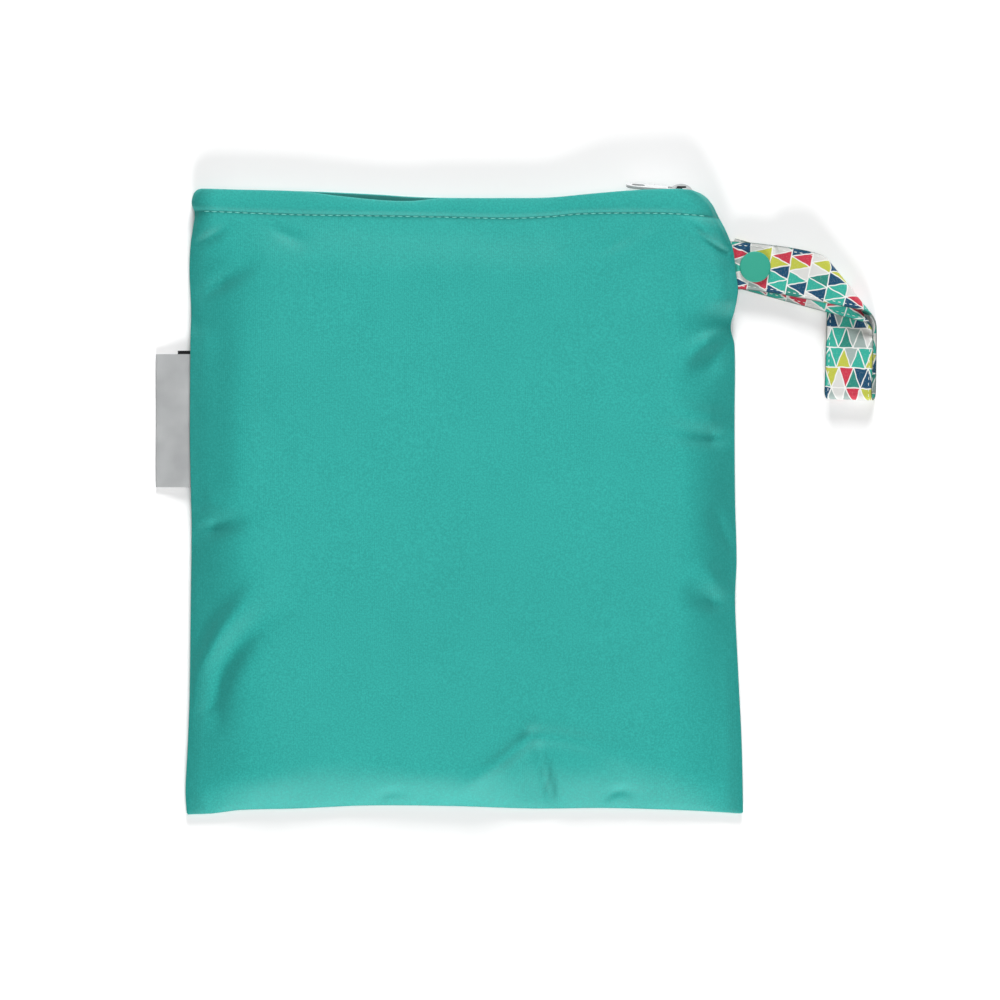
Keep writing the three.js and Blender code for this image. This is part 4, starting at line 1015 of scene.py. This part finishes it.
class Strap:
    """The strap's centre surface: stations along it, and columns across it."""

    reach, drop, hang_length, sewn_in = 0.0377, 0.0051, 0.0445, 0.005
    snap_reach, snap_flat, fan = 0.0081, 0.0063, 0.0122
    loop_radius, inner_radius = 0.003, 0.0022
    inner_shift = (0.00355, -0.0044)
    upper_heading, lower_heading = math.radians(-11.4), math.radians(-15.3)
    hang, lower_turn = math.radians(-91), math.radians(1.2)
    # Heights of the layers' middles: the upper one in the seam and at the snap, and the
    # lower one. The upper layer leaves its height in the seam a little inside the seam.
    seam_z, snap_z, low_z, seam_hold = 0.0042, 0.0055, 0.0016, 0.0006

    def __init__(self, pouch, given):
        self.cloth = given.strap_cloth
        self.seam_x = float(pouch.right_x(np.array(pouch.strap_y)))
        fold = np.array((self.seam_x + self.reach, pouch.strap_y - self.drop))
        self.upper = StrapLayer(fold, self.upper_heading, self.hang, StrapLayer.fold_radius, True)
        self.lower = StrapLayer(fold + np.array(self.inner_shift), self.lower_heading,
                                self.hang - self.lower_turn, self.inner_radius, False)
        self.hang_y = fold[1] - self.hang_length
        snap = self.upper.spot(-(self.reach - self.snap_reach) / self.upper.forward[0])
        self.snap = (float(snap[0]), float(snap[1]))

    def layer(self, layer, sign, start, rise_from, start_z, snap_z, end_z, across, step):
        snap_along = layer.along_at(self.seam_x + self.snap_reach)
        before, after = snap_along - self.snap_flat, snap_along + self.snap_flat
        top_z, low_z = layer.fold_z + layer.radius, layer.fold_z - layer.radius
        end = layer.wrap_end + (self.hang_y - layer.spot(layer.wrap_end)[1]) / math.sin(self.hang)
        along = np.linspace(start, end, int((end - start) / step) + 1)
        height = mix(start_z, snap_z, smoothstep(along, rise_from, before))
        height = np.where(along > after, mix(snap_z, top_z, smoothstep(along, after, 0)), height)
        height = np.where(along > 0, low_z, height)
        falling = mix(low_z, end_z, smoothstep(along, layer.wrap_end, end))
        height = np.where(along > layer.wrap_end, falling, height)
        slant = np.clip((along - after) / self.fan, 0, 1)
        slant = slant * np.clip(1 - (along - layer.wrap_end) / self.fan, 0, 1)
        rung = along[:, None] - slant[:, None] / math.tan(layer.lean) * across[None, :]
        places, core = layer.at(rung, np.broadcast_to(across, rung.shape),
                                np.broadcast_to(height[:, None], rung.shape))
        return places, core * sign, rung

    def surface(self, across, step):
        """Centre points, outward directions, and the distance along the ribbon."""
        bottom_z = self.cloth / 2
        seam_along = self.upper.along_at(self.seam_x)
        upper = self.layer(self.upper, 1, seam_along - self.sewn_in, seam_along - self.seam_hold,
                           self.seam_z, self.snap_z, bottom_z, across, step)
        low_along = self.lower.along_at(self.seam_x)
        lower = self.layer(self.lower, -1, low_along - self.sewn_in / 2, low_along,
                           self.low_z, self.low_z, bottom_z + 2 * self.loop_radius, across, step)
        down = np.array((math.cos(self.hang), math.sin(self.hang), 0))
        turns = np.linspace(0, math.pi, max(int(math.pi * self.loop_radius / step), 8))[1:-1]
        places, outs = [], []
        for angle in turns:
            out = down * math.sin(angle) + np.array((0, 0, -math.cos(angle)))
            place = mix(upper[0][-1], lower[0][-1], (1 - math.cos(angle)) / 2)
            place[:, 2] = bottom_z + self.loop_radius
            places.append(place + out * self.loop_radius)
            outs.append(np.tile(out, (len(across), 1)))
        centre = np.concatenate((upper[0], np.array(places), lower[0][::-1]))
        out = np.concatenate((upper[1], np.array(outs), lower[1][::-1]))
        turn_along = upper[2][-1] + (turns[:, None] * self.loop_radius)
        loop_end = upper[2][-1] + math.pi * self.loop_radius
        returned = loop_end + (lower[2][-1][None, :] - lower[2][::-1])
        return centre, out, np.concatenate((upper[2], turn_along, returned))


def ribbon_piece(name, centre, out, along, across, half_thickness, worn):
    """A closed ribbon round a centre surface, with a map in metres for each of its faces."""
    # Each face starts elsewhere on the print, so the two sides don't show the same rows.
    face_shifts, cap_spot = ((0.05, 0.2), (0.13, 0.37)), (0.1, 0.1)
    stations, columns = along.shape
    upper = centre + out * half_thickness[..., None]
    lower = centre - out * half_thickness[..., None]
    ring = np.concatenate((upper, lower[:, -2:0:-1]), axis=1)
    size = ring.shape[1]
    across_all = np.broadcast_to(across, along.shape)
    maps = [np.stack((across_all + right, along + up), -1) for right, up in face_shifts]
    source = np.minimum(np.arange(size), size - np.arange(size))
    here = np.arange(stations - 1) * size
    faces, uv = [], []
    for column in range(size):
        beside = (column + 1) % size
        corners = (here + column, here + column + size, here + beside + size, here + beside)
        faces.extend(np.stack(corners, -1).tolist())
        face_map = maps[0] if column < columns - 1 else maps[1]
        first, second = face_map[:, source[column]], face_map[:, source[beside]]
        uv.extend(np.stack((first[:-1], first[1:], second[1:], second[:-1]), 1).reshape(-1, 2))
    for station in (0, stations - 1):
        for column in range(columns - 1):
            corners = (column, column + 1, size - column - 1, (size - column) % size)
            cap = [station * size + corner for corner in dict.fromkeys(corners)]
            faces.append(cap[::-1] if station else cap)
            uv.extend([cap_spot] * len(cap))
    piece = mesh_piece(name, ring.reshape(-1, 3), faces, uv)
    # Each point carries its share of the painted shadow along the strap's edges.
    paint(piece, "worn", np.tile(np.concatenate((worn, worn[-2:0:-1])), stations))
    face_outward(piece, merge=0.000001)
    return piece


class Chain:
    """Where the zip's chain runs, inside the mouth."""

    split, spread_length, spread_start = 0.0003, 0.0035, 0.001
    from_left, from_right = 0.01, 0.0055

    def __init__(self, pouch):
        self.pouch = pouch
        left_y = pouch.zip_y(np.array(-pouch.width / 2))
        right_y = pouch.zip_y(np.array(pouch.width / 2))
        self.start = float(pouch.left_x(left_y)) + self.from_left
        self.end = float(pouch.right_x(right_y)) - self.from_right

    def height(self, x):
        y = self.pouch.zip_y(x)
        return (self.pouch.back_inner(x, y) + self.pouch.front_inner(x, y)) / 2

    def parting(self, x):
        past_slider = x - self.pouch.slider_x + self.spread_start
        open_share = np.clip(past_slider / self.spread_length, 0, 1)
        return self.split / 2 + self.pouch.chain_spread * open_share


def folded_strip(name, seam_x, low, high, reach, sewn_in, middle_z, thickness, ply):
    """A strip doubled over its outer end and sewn in at the seam, with the length of its cloth."""
    droop, droop_reach = 0.0019, 0.0135
    curl_height, curl_turns, curl_start = 0.00022, 2.6, 0.6
    inner, outer = seam_x + sewn_in, seam_x - reach
    half = (thickness - ply) / 2
    y = np.linspace(low, high, 40)
    ends = np.linspace(0, 1, 14)
    path = [(mix(inner, outer + half, share), 1.0) for share in ends]
    for angle in np.linspace(0, math.pi, 7)[1:-1]:
        path.append((outer + half - half * math.sin(angle), math.cos(angle)))
    path += [(mix(inner, outer + half, share), -1.0) for share in ends[::-1]]
    rows = []
    for x, level in path:
        out_of_seam = smoothstep(seam_x - x, 0, droop_reach)
        bends = (y - low) / (high - low) * curl_turns * math.pi + curl_start
        curl = curl_height * np.sin(bends) * out_of_seam
        z = middle_z - droop * out_of_seam + curl + level * half
        rows.append(np.stack((np.full_like(y, x), y, z), -1))
    return thin_sheet(name, rows, ply), 2 * (inner - outer)


# ---------------------------------------------------------------- operators


class WETBAG_OT_front_cloth(bpy.types.Operator):
    """Sew the front panel with its folds, seam puckers and hem"""

    bl_idname = "wetbag.front_cloth"
    bl_label = "Front panel"

    hem_rows = 12
    crease_depth, crease_width = 0.00022, 0.0007
    # Shade is painted into the knit where it falls off to the left or the right, along its side
    # seams and on its rim; inside, the darker coated side also gets painted shade.
    fall_step, fall_start, fall_range = 0.001, 0.19, 0.3
    beside_shade, beside_full, beside_faded = 0.8, 0.003, 0.01
    inside_shade, rim_shade = 2.0, 0.6

    def execute(self, context):
        given, pouch = sizes(), Pouch(sizes())
        rim = given.cloth / 2
        x, y = pouch.grid("front", given.panel_columns, given.panel_rows, self.hem_rows, rim)
        relief = pouch.cloth_relief(x, y)
        above = y - pouch.stitch_y(x)
        crease = self.crease_depth * np.exp(-(above / self.crease_width) ** 2)
        outer = np.stack((x, y, pouch.front_outer(x, y) + relief - crease), -1)
        inner = np.stack((x, y, pouch.front_inner(x, y) + relief), -1)
        piece = shell("front_cloth", outer, inner, np.stack((x, above), -1), rim)
        # Painted shade: darker where the front falls steeply left or right, and beside the side
        # seams.
        fall = np.abs(slope(lambda shift: pouch.front_inner(x + shift, y), self.fall_step))
        nap = np.clip((fall - self.fall_start) / self.fall_range, 0, 1)
        beside = smoothstep(pouch.side_distance(x, y), self.beside_full, self.beside_faded)
        nap = np.maximum(nap, self.beside_shade * (1 - beside)).ravel()
        shades = np.full(len(piece.data.vertices), self.rim_shade)
        shades[:x.size], shades[x.size:2 * x.size] = nap, self.inside_shade
        paint(piece, "nap", shades)
        finish_piece(piece, "bag", knit_finish(), ["front_panel"])
        return {"FINISHED"}


class WETBAG_OT_back_cloth(bpy.types.Operator):
    """Sew the back panel, which lies flat, with its hem"""

    bl_idname = "wetbag.back_cloth"
    bl_label = "Back panel"

    columns, rows, hem_rows = 110, 110, 8
    crease_depth, crease_width = 0.00045, 0.0012
    pucker, pucker_reach, side_band = 0.00012, 0.005, 0.1
    # The inside is the coated side, darker of itself, and painted shade is added to it as well.
    inside_shade = 2.0

    def execute(self, context):
        given, pouch = sizes(), Pouch(sizes())
        rim = given.cloth / 2
        x, y = pouch.grid("back", self.columns, self.rows, self.hem_rows, rim)
        above = y - pouch.stitch_y(x)
        crease = self.crease_depth * np.exp(-(above / self.crease_width) ** 2)
        lift = pouch.back_lift(x, y)
        along = np.where(np.abs(x) > self.side_band, y, x)
        puckers = self.pucker * (1 + ripple(along, pouch.seam_pucker_pitch))
        puckers = puckers * np.exp(-(pouch.edge_distance(x, y) / self.pucker_reach) ** 2)
        outer = np.stack((x, y, lift + crease + puckers), -1)
        inner = np.stack((x, y, lift + pouch.wall(x, y)), -1)
        uv = np.stack((x, above), -1)
        piece = shell("back_cloth", outer[:, ::-1], inner[:, ::-1], uv[:, ::-1], rim)
        shades = np.zeros(len(piece.data.vertices))
        shades[x.size:2 * x.size] = self.inside_shade
        paint(piece, "nap", shades)
        finish_piece(piece, "bag", bpy.data.materials["soft_knit"], ["back_panel"])
        return {"FINISHED"}


class WETBAG_OT_hem_stitches(bpy.types.Operator):
    """Topstitch the hem on the front and on the back"""

    bl_idname = "wetbag.hem_stitches"
    bl_label = "Hem stitches"

    from_left, from_right, places = 0.0035, 0.004, 400
    front_sink, back_sink, slope_step = 0.00022, 0.00026, 0.0015

    def execute(self, context):
        given, pouch = sizes(), Pouch(sizes())
        middle = pouch.stitch_y(np.array(0.0))
        start = float(pouch.left_x(middle)) + self.from_left
        x = np.linspace(start, float(pouch.right_x(middle)) - self.from_right, self.places)
        y = pouch.stitch_y(x)
        relief = pouch.cloth_relief(x, y)
        front = np.stack((x, y, pouch.front_outer(x, y) + relief - self.front_sink), -1)
        rise = slope(lambda shift: pouch.front_outer(x, y + shift), self.slope_step)
        up = np.stack((np.zeros_like(x), -rise, np.ones_like(x)), -1)
        back = np.stack((x, y, pouch.back_lift(x, y) + self.back_sink), -1)
        down = np.tile(np.array((0.0, 0.0, -1.0)), (len(x), 1))
        piece = sew("hem_stitches", [(front, up), (back, down)], given.hem_stitch, given.thread)
        finish_piece(piece, "bag", thread_finish("teal_thread", shade_of("thread")))
        return {"FINISHED"}


class WETBAG_OT_zip_tapes(bpy.types.Operator):
    """Weave the zip's two tapes, each turned down inside its hem"""

    bl_idname = "wetbag.zip_tapes"
    bl_label = "Zip tapes"

    flat, thickness = (0.0135, 0.193), 0.00045
    below_zip, hidden_width, off_hem, corner = 0.00025, 0.00975, 0.0008, 0.00012

    def execute(self, context):
        pouch = Pouch(sizes())
        finish = tape_finish("zip_tape_weave", shade_of("tape"))
        chain = Chain(pouch)
        x = np.linspace(chain.start, chain.end, 160)
        for side, name in ((1, "front"), (-1, "back")):
            top = pouch.zip_y(x) - self.below_zip
            low = top - self.hidden_width
            hem = pouch.front_inner if side > 0 else pouch.back_inner
            outer_top = hem(x, top) - side * self.off_hem
            outer_low = hem(x, low) - side * self.off_hem
            outer_low = (np.minimum if side > 0 else np.maximum)(outer_low, outer_top)
            edge = chain.height(x) + side * chain.parting(x)
            rows = []
            for share in (1, 0.75, 0.5, 0.25, 0.08):
                rows.append((mix(top, low, share), mix(outer_top, outer_low, share)))
            rows.append((top - self.corner, outer_top - side * self.corner))
            for share in (0.08, 0.35, 0.7, 1):
                rows.append((top, mix(outer_top, edge, share)))
            rows = [np.stack((x, y, z), -1) for y, z in rows]
            piece = thin_sheet("tape_" + name, rows, self.thickness)
            finish_piece(piece, "bag", finish, ["zip_tape_" + name])
        return {"FINISHED"}


class WETBAG_OT_zip_coils(bpy.types.Operator):
    """Wind the zip's two coils: one bent nylon tooth, copied along each tape"""

    bl_idname = "wetbag.zip_coils"
    bl_label = "Zip coils"

    # A tooth: its height out of the mouth, how far it reaches to its tape and past the
    # middle of a closed zip, and the radius of its wire.
    tall, reach, overlap, wire = 0.0017, 0.00235, 0.00035, 0.0003
    first, last, closed = 0.0005, 0.0004, 0.0002

    def tooth(self, half):
        """One tooth: a ring of wire drawn out into a flat loop."""
        ring_wire = 0.4
        clear_selection()
        bpy.ops.mesh.primitive_torus_add(
            major_segments=12, minor_segments=5, major_radius=1, minor_radius=ring_wire
        )
        tooth = bpy.context.object
        for vertex in tooth.data.vertices:
            along, up, wide = vertex.co
            around = math.atan2(up, along)
            out = (math.hypot(along, up) - 1) / ring_wire * self.wire
            vertex.co = (wide / ring_wire * self.wire,
                         (self.tall / 2 - self.wire + out) * math.sin(around),
                         (half - self.wire + out) * math.cos(around))
        tooth.data.shade_smooth()
        return tooth

    def execute(self, context):
        given, pouch = sizes(), Pouch(sizes())
        chain = Chain(pouch)
        finish = coil_finish()
        half = (self.reach + self.overlap) / 2
        for side, name in ((1, "front"), (-1, "back")):
            # The two rows of teeth mesh: one is set off by half a pitch.
            start = chain.start + self.first + (0.5 * given.tooth_pitch if side > 0 else 0)
            x = np.arange(start, chain.end - self.last, given.tooth_pitch)
            parting = chain.parting(x)
            reach = np.where(parting < self.closed, -self.overlap, parting)
            y = pouch.zip_y(x) + pouch.gap + self.tall / 2
            z = chain.height(x) + side * (reach + half)
            places = [Matrix.Translation(place) for place in zip(x, y, z)]
            piece = copies("coil_" + name, self.tooth(half), places)
            face_outward(piece)
            finish_piece(piece, "bag", finish, ["zip_coil_" + name])
        return {"FINISHED"}


class WETBAG_OT_zip_slider(bpy.types.Operator):
    """Round the enamelled slider and its pull, and set a dark leaf in the arch's window that paints
    the shade seen through it
    """

    bl_idname = "wetbag.zip_slider"
    bl_label = "Slider and pull"

    slider_edge, pull_edge, leaf_edge = 0.00018, 0.00022, 0.0001
    leaf_place, leaf_size = (0.0868, 0.12575, 0.006), (0.0036, 0.0007, 0.0024)

    def execute(self, context):
        finish = enamel_finish()
        slider = copied_node("slider_body", "zip_slider", self.slider_edge)
        finish_piece(slider, "bag", finish, ["zip_slider"])
        # A dark leaf in the arch's window paints the shade seen through it.
        clear_selection()
        bpy.ops.mesh.primitive_cube_add(size=1, location=self.leaf_place)
        leaf = bpy.context.object
        leaf.name = leaf.data.name = "slider_leaf"
        bpy.ops.transform.resize(value=self.leaf_size)
        settle(leaf)
        apply_modifier(leaf, "BEVEL", width=self.leaf_edge, segments=2)
        finish_piece(leaf, "bag", shade_leaf_finish())
        pull = copied_node("slider_pull", "zip_pull", self.pull_edge)
        finish_piece(pull, "pull", finish, ["zip_pull"])
        return {"FINISHED"}


class WETBAG_OT_strap(bpy.types.Operator):
    """Fold the printed strap and topstitch both its edges"""

    bl_idname = "wetbag.strap"
    bl_label = "Strap"

    step = 0.0006
    half_columns = (0, 0.16, 0.32, 0.48, 0.62, 0.73, 0.79, 0.85, 0.91, 0.955, 0.985, 1)
    # The painted shadow along the strap's edges starts and is full at these shares across it.
    round_share, worn_from, worn_to = 0.09, 0.94, 0.985
    groove_depth, groove_at, groove_width = 0.13, 0.85, 0.05
    # Waves along and slantwise over the strap: their length, seed and share of the height.
    wave_height, waves = 0.0005, ((0.0125, 0, 1.0, 0.1), (0.03, 4, 3.0, 0.12))
    stitch_column, stitch_inset, thread, filled = 4, 6, 0.00028, 0.65

    def execute(self, context):
        given = sizes()
        strap = Strap(Pouch(given), given)
        inner = self.half_columns[1:]
        spread = np.array([-place for place in inner[::-1]] + list(self.half_columns))
        across = spread * (given.strap_width / 2)
        centre, out, along = strap.surface(across, self.step)
        edge = np.clip((1 - np.abs(spread)) / self.round_share, 0, 1)
        round_edge = np.sqrt(np.clip(1 - (1 - edge) ** 2, 0, 1))
        from_groove = (np.abs(spread) - self.groove_at) / self.groove_width
        groove = self.groove_depth * np.exp(-from_groove ** 2)
        thickness = np.tile(given.strap_cloth / 2 * (round_edge * (1 - groove)), (len(along), 1))
        waves = sum(ripple(along + slant * across, size, seed) * share
                    for size, slant, seed, share in self.waves)
        centre = centre + out * (waves * self.wave_height)[..., None]
        centre[..., 2] = np.maximum(centre[..., 2], given.strap_cloth / 2)
        worn = np.interp(np.abs(spread), (self.worn_from, self.worn_to), (0, 1))
        piece = ribbon_piece("strap_cloth", centre, out, along, across, thickness, worn)
        finish_piece(piece, "bag", print_finish(), ["strap"])
        lines = []
        kept = slice(self.stitch_inset, -self.stitch_inset)
        for column in (self.stitch_column, len(across) - 1 - self.stitch_column):
            for face in (1, -1):
                ups = face * out[:, column]
                points = centre[:, column] + ups * thickness[:, column, None]
                lines.append((points[kept], ups[kept]))
        stitches = sew("strap_stitches", lines, given.strap_stitch, self.thread, self.filled)
        finish_piece(stitches, "bag",
                     thread_finish("pale_thread", shade_of("strap_thread")))
        return {"FINISHED"}


class WETBAG_OT_press_snap(bpy.types.Operator):
    """Turn the four round parts of the press snap"""

    bl_idname = "wetbag.press_snap"
    bl_label = "Press snap"

    # Radii: the profile's start beside its axis, the caps' post, the stud's hole and the
    # socket's hole. Then the height that each part starts from.
    axis, post, stud_hole, socket_hole = 0.00002, 0.0011, 0.0014, 0.0024
    cap_z, stud_z, socket_z = 0.0063, 0.0024, 0.0033
    cap_sides, ring_sides = 72, 48

    def execute(self, context):
        given = sizes()
        strap = Strap(Pouch(given), given)
        finish = plastic_finish()
        radius = given.snap_width / 2
        axis, post, stud, socket = self.axis, self.post, self.stud_hole, self.socket_hole
        parts = (
            ("cap_disc", "snap_cap", self.cap_z, self.cap_sides, (
                (axis, -0.0018), (post, -0.0018), (post, 0.0), (radius * 0.93, 0.0),
                (radius * 0.985, 0.00012), (radius, 0.00034), (radius * 0.996, 0.00062),
                (radius * 0.98, 0.00083), (radius * 0.955, 0.00094), (radius * 0.92, 0.001),
                (radius * 0.6, 0.00114), (radius * 0.3, 0.00122), (axis, 0.00126))),
            ("back_disc", "snap_back_cap", 0, self.cap_sides, (
                (axis, 0.0), (radius * 0.92, 0.0), (radius * 0.98, 0.00012), (radius, 0.0003),
                (radius * 0.985, 0.00068), (radius * 0.95, 0.0008), (post, 0.0008),
                (post, 0.0027), (axis, 0.0027))),
            ("stud_ring", "snap_stud", self.stud_z, self.ring_sides, (
                (stud, 0.0), (radius * 0.8, 0.0), (radius * 0.815, 0.0002),
                (radius * 0.8, 0.00042), (radius * 0.7, 0.0006), (0.0022, 0.0006),
                (0.00205, 0.0007), (0.0021, 0.0013), (0.002, 0.0016), (0.0017, 0.0017),
                (stud, 0.0017), (stud, 0.0))),
            ("socket_ring", "snap_socket", self.socket_z, self.ring_sides, (
                (socket, 0.0), (radius * 0.7, 0.0), (radius * 0.8, 0.0003),
                (radius * 0.84, 0.0006), (radius * 0.84, 0.0012), (radius * 0.82, 0.0014),
                (0.0026, 0.0014), (socket, 0.0012), (socket, 0.0))),
        )
        for name, node, z, sides, profile in parts:
            piece = turned(name, profile, (*strap.snap, z), sides)
            finish_piece(piece, "bag", finish, [node])
        return {"FINISHED"}


class WETBAG_OT_label(bpy.types.Operator):
    """Sew the bare satin label and the black tab into the left seam"""

    bl_idname = "wetbag.label"
    bl_label = "Label and tab"

    sewn_in = 0.005
    label_reach, label_thickness, satin = 0.0135, 0.0009, 0.0003
    tab_reach, tab_height, tab_thickness, tape, ribs = 0.0048, 0.014, 0.0006, 0.0002, 0.0004

    def execute(self, context):
        given, pouch = sizes(), Pouch(sizes())
        seam_x = float(pouch.left_x(np.array(pouch.label_y)))
        top = pouch.label_y + pouch.label_height / 2
        tab_z = given.cloth + given.gap + self.tab_thickness / 2
        label_z = tab_z + self.tab_thickness / 2 + given.gap + self.label_thickness / 2
        label, run = folded_strip(
            "satin_label", seam_x, top - pouch.label_height, top, self.label_reach,
            self.sewn_in, label_z, self.label_thickness, self.satin
        )
        finish_piece(label, "bag", satin_finish(), ["care_label"])
        tab_top = top + pouch.tab_above
        tab, run = folded_strip(
            "black_tape_tab", seam_x, tab_top - self.tab_height, tab_top, self.tab_reach,
            self.sewn_in, tab_z, self.tab_thickness, self.tape
        )
        weave = tape_finish("black_weave", shade_of("tab"), self.ribs)
        finish_piece(tab, "bag", weave, ["black_tab"])
        return {"FINISHED"}


class WETBAG_OT_stage(bpy.types.Operator):
    """Lay the pale floor, hang the soft lights and set the camera overhead"""

    bl_idname = "wetbag.stage"
    bl_label = "Stage"

    floor_size, floor_z = 8, -0.0001
    # Each light's place and power. All are the same size.
    lights = (("overhead", (0.1, 0.1, 2.3), 12), ("from_mouth", (0.1, 1.9, 0.8), 54),
              ("from_bottom", (0.1, -1.9, 0.75), 53))
    aim, light_size, sky = (0.014, 0.0, 0.0), 1.0, 0.14
    # The view is 0.4 metres wide at half the height of the bag.
    lens, sensor, view_width, view_z = 250, 36, 0.4, 0.006
    camera_x, camera_y = 0.0142, 0.0006

    def light(self, name, place, power):
        data = bpy.data.lights.new(name, "AREA")
        data.shape = "DISK"
        data.size = self.light_size
        data.energy = power
        lamp = bpy.data.objects.new(name, data)
        bpy.context.scene.collection.objects.link(lamp)
        lamp.location = place
        towards = Vector(self.aim) - Vector(place)
        lamp.rotation_euler = towards.to_track_quat("-Z", "Y").to_euler()

    def execute(self, context):
        clear_selection()
        bpy.ops.mesh.primitive_grid_add(
            x_subdivisions=8, y_subdivisions=8, size=self.floor_size, location=(0, 0, self.floor_z)
        )
        floor = settle(bpy.context.object)
        floor.name = "floor"
        floor.data.materials.append(floor_finish())
        for name, place, power in self.lights:
            self.light(name, place, power)
        world = bpy.data.worlds.new("studio")
        world.use_nodes = True
        sky = world.node_tree.nodes["Background"].inputs
        sky["Color"].default_value = (1, 1, 1, 1)
        sky["Strength"].default_value = self.sky
        context.scene.world = world
        context.scene.view_settings.view_transform = "Standard"
        data = bpy.data.cameras.new("overhead_camera")
        data.lens = self.lens
        data.sensor_width = self.sensor
        data.clip_end = 20
        camera = bpy.data.objects.new("overhead_camera", data)
        context.scene.collection.objects.link(camera)
        height = self.view_width * self.lens / self.sensor + self.view_z
        camera.location = (self.camera_x, self.camera_y, height)
        context.scene.camera = camera
        clear_selection()
        return {"FINISHED"}


class WETBAG_PT_panel(bpy.types.Panel):
    """The bag's pieces, sizes and colours"""

    bl_idname = "WETBAG_PT_panel"
    bl_label = "Wet Bag"
    bl_space_type = "VIEW_3D"
    bl_region_type = "UI"
    bl_category = "Wet Bag"

    def draw(self, context):
        for step in STEPS:
            self.layout.operator(step.bl_idname)
        for group in (context.scene.wet_bag_sizes, context.scene.wet_bag_colours):
            box = self.layout.box()
            for name in group.__annotations__:
                box.prop(group, name)


STEPS = (
    WETBAG_OT_stage,
    WETBAG_OT_front_cloth,
    WETBAG_OT_back_cloth,
    WETBAG_OT_hem_stitches,
    WETBAG_OT_zip_tapes,
    WETBAG_OT_zip_coils,
    WETBAG_OT_zip_slider,
    WETBAG_OT_strap,
    WETBAG_OT_press_snap,
    WETBAG_OT_label,
)
CLASSES = (WetBagSizes, WetBagColours, *STEPS, WETBAG_PT_panel)


def register():
    for item in CLASSES:
        bpy.utils.register_class(item)
    bpy.types.Scene.wet_bag_sizes = PointerProperty(type=WetBagSizes)
    bpy.types.Scene.wet_bag_colours = PointerProperty(type=WetBagColours)


def unregister():
    del bpy.types.Scene.wet_bag_colours
    del bpy.types.Scene.wet_bag_sizes
    for item in reversed(CLASSES):
        bpy.utils.unregister_class(item)


def main():
    register()
    for step in STEPS:
        group, name = step.bl_idname.split(".")
        getattr(getattr(bpy.ops, group), name)()


if __name__ == "__main__":
    main()
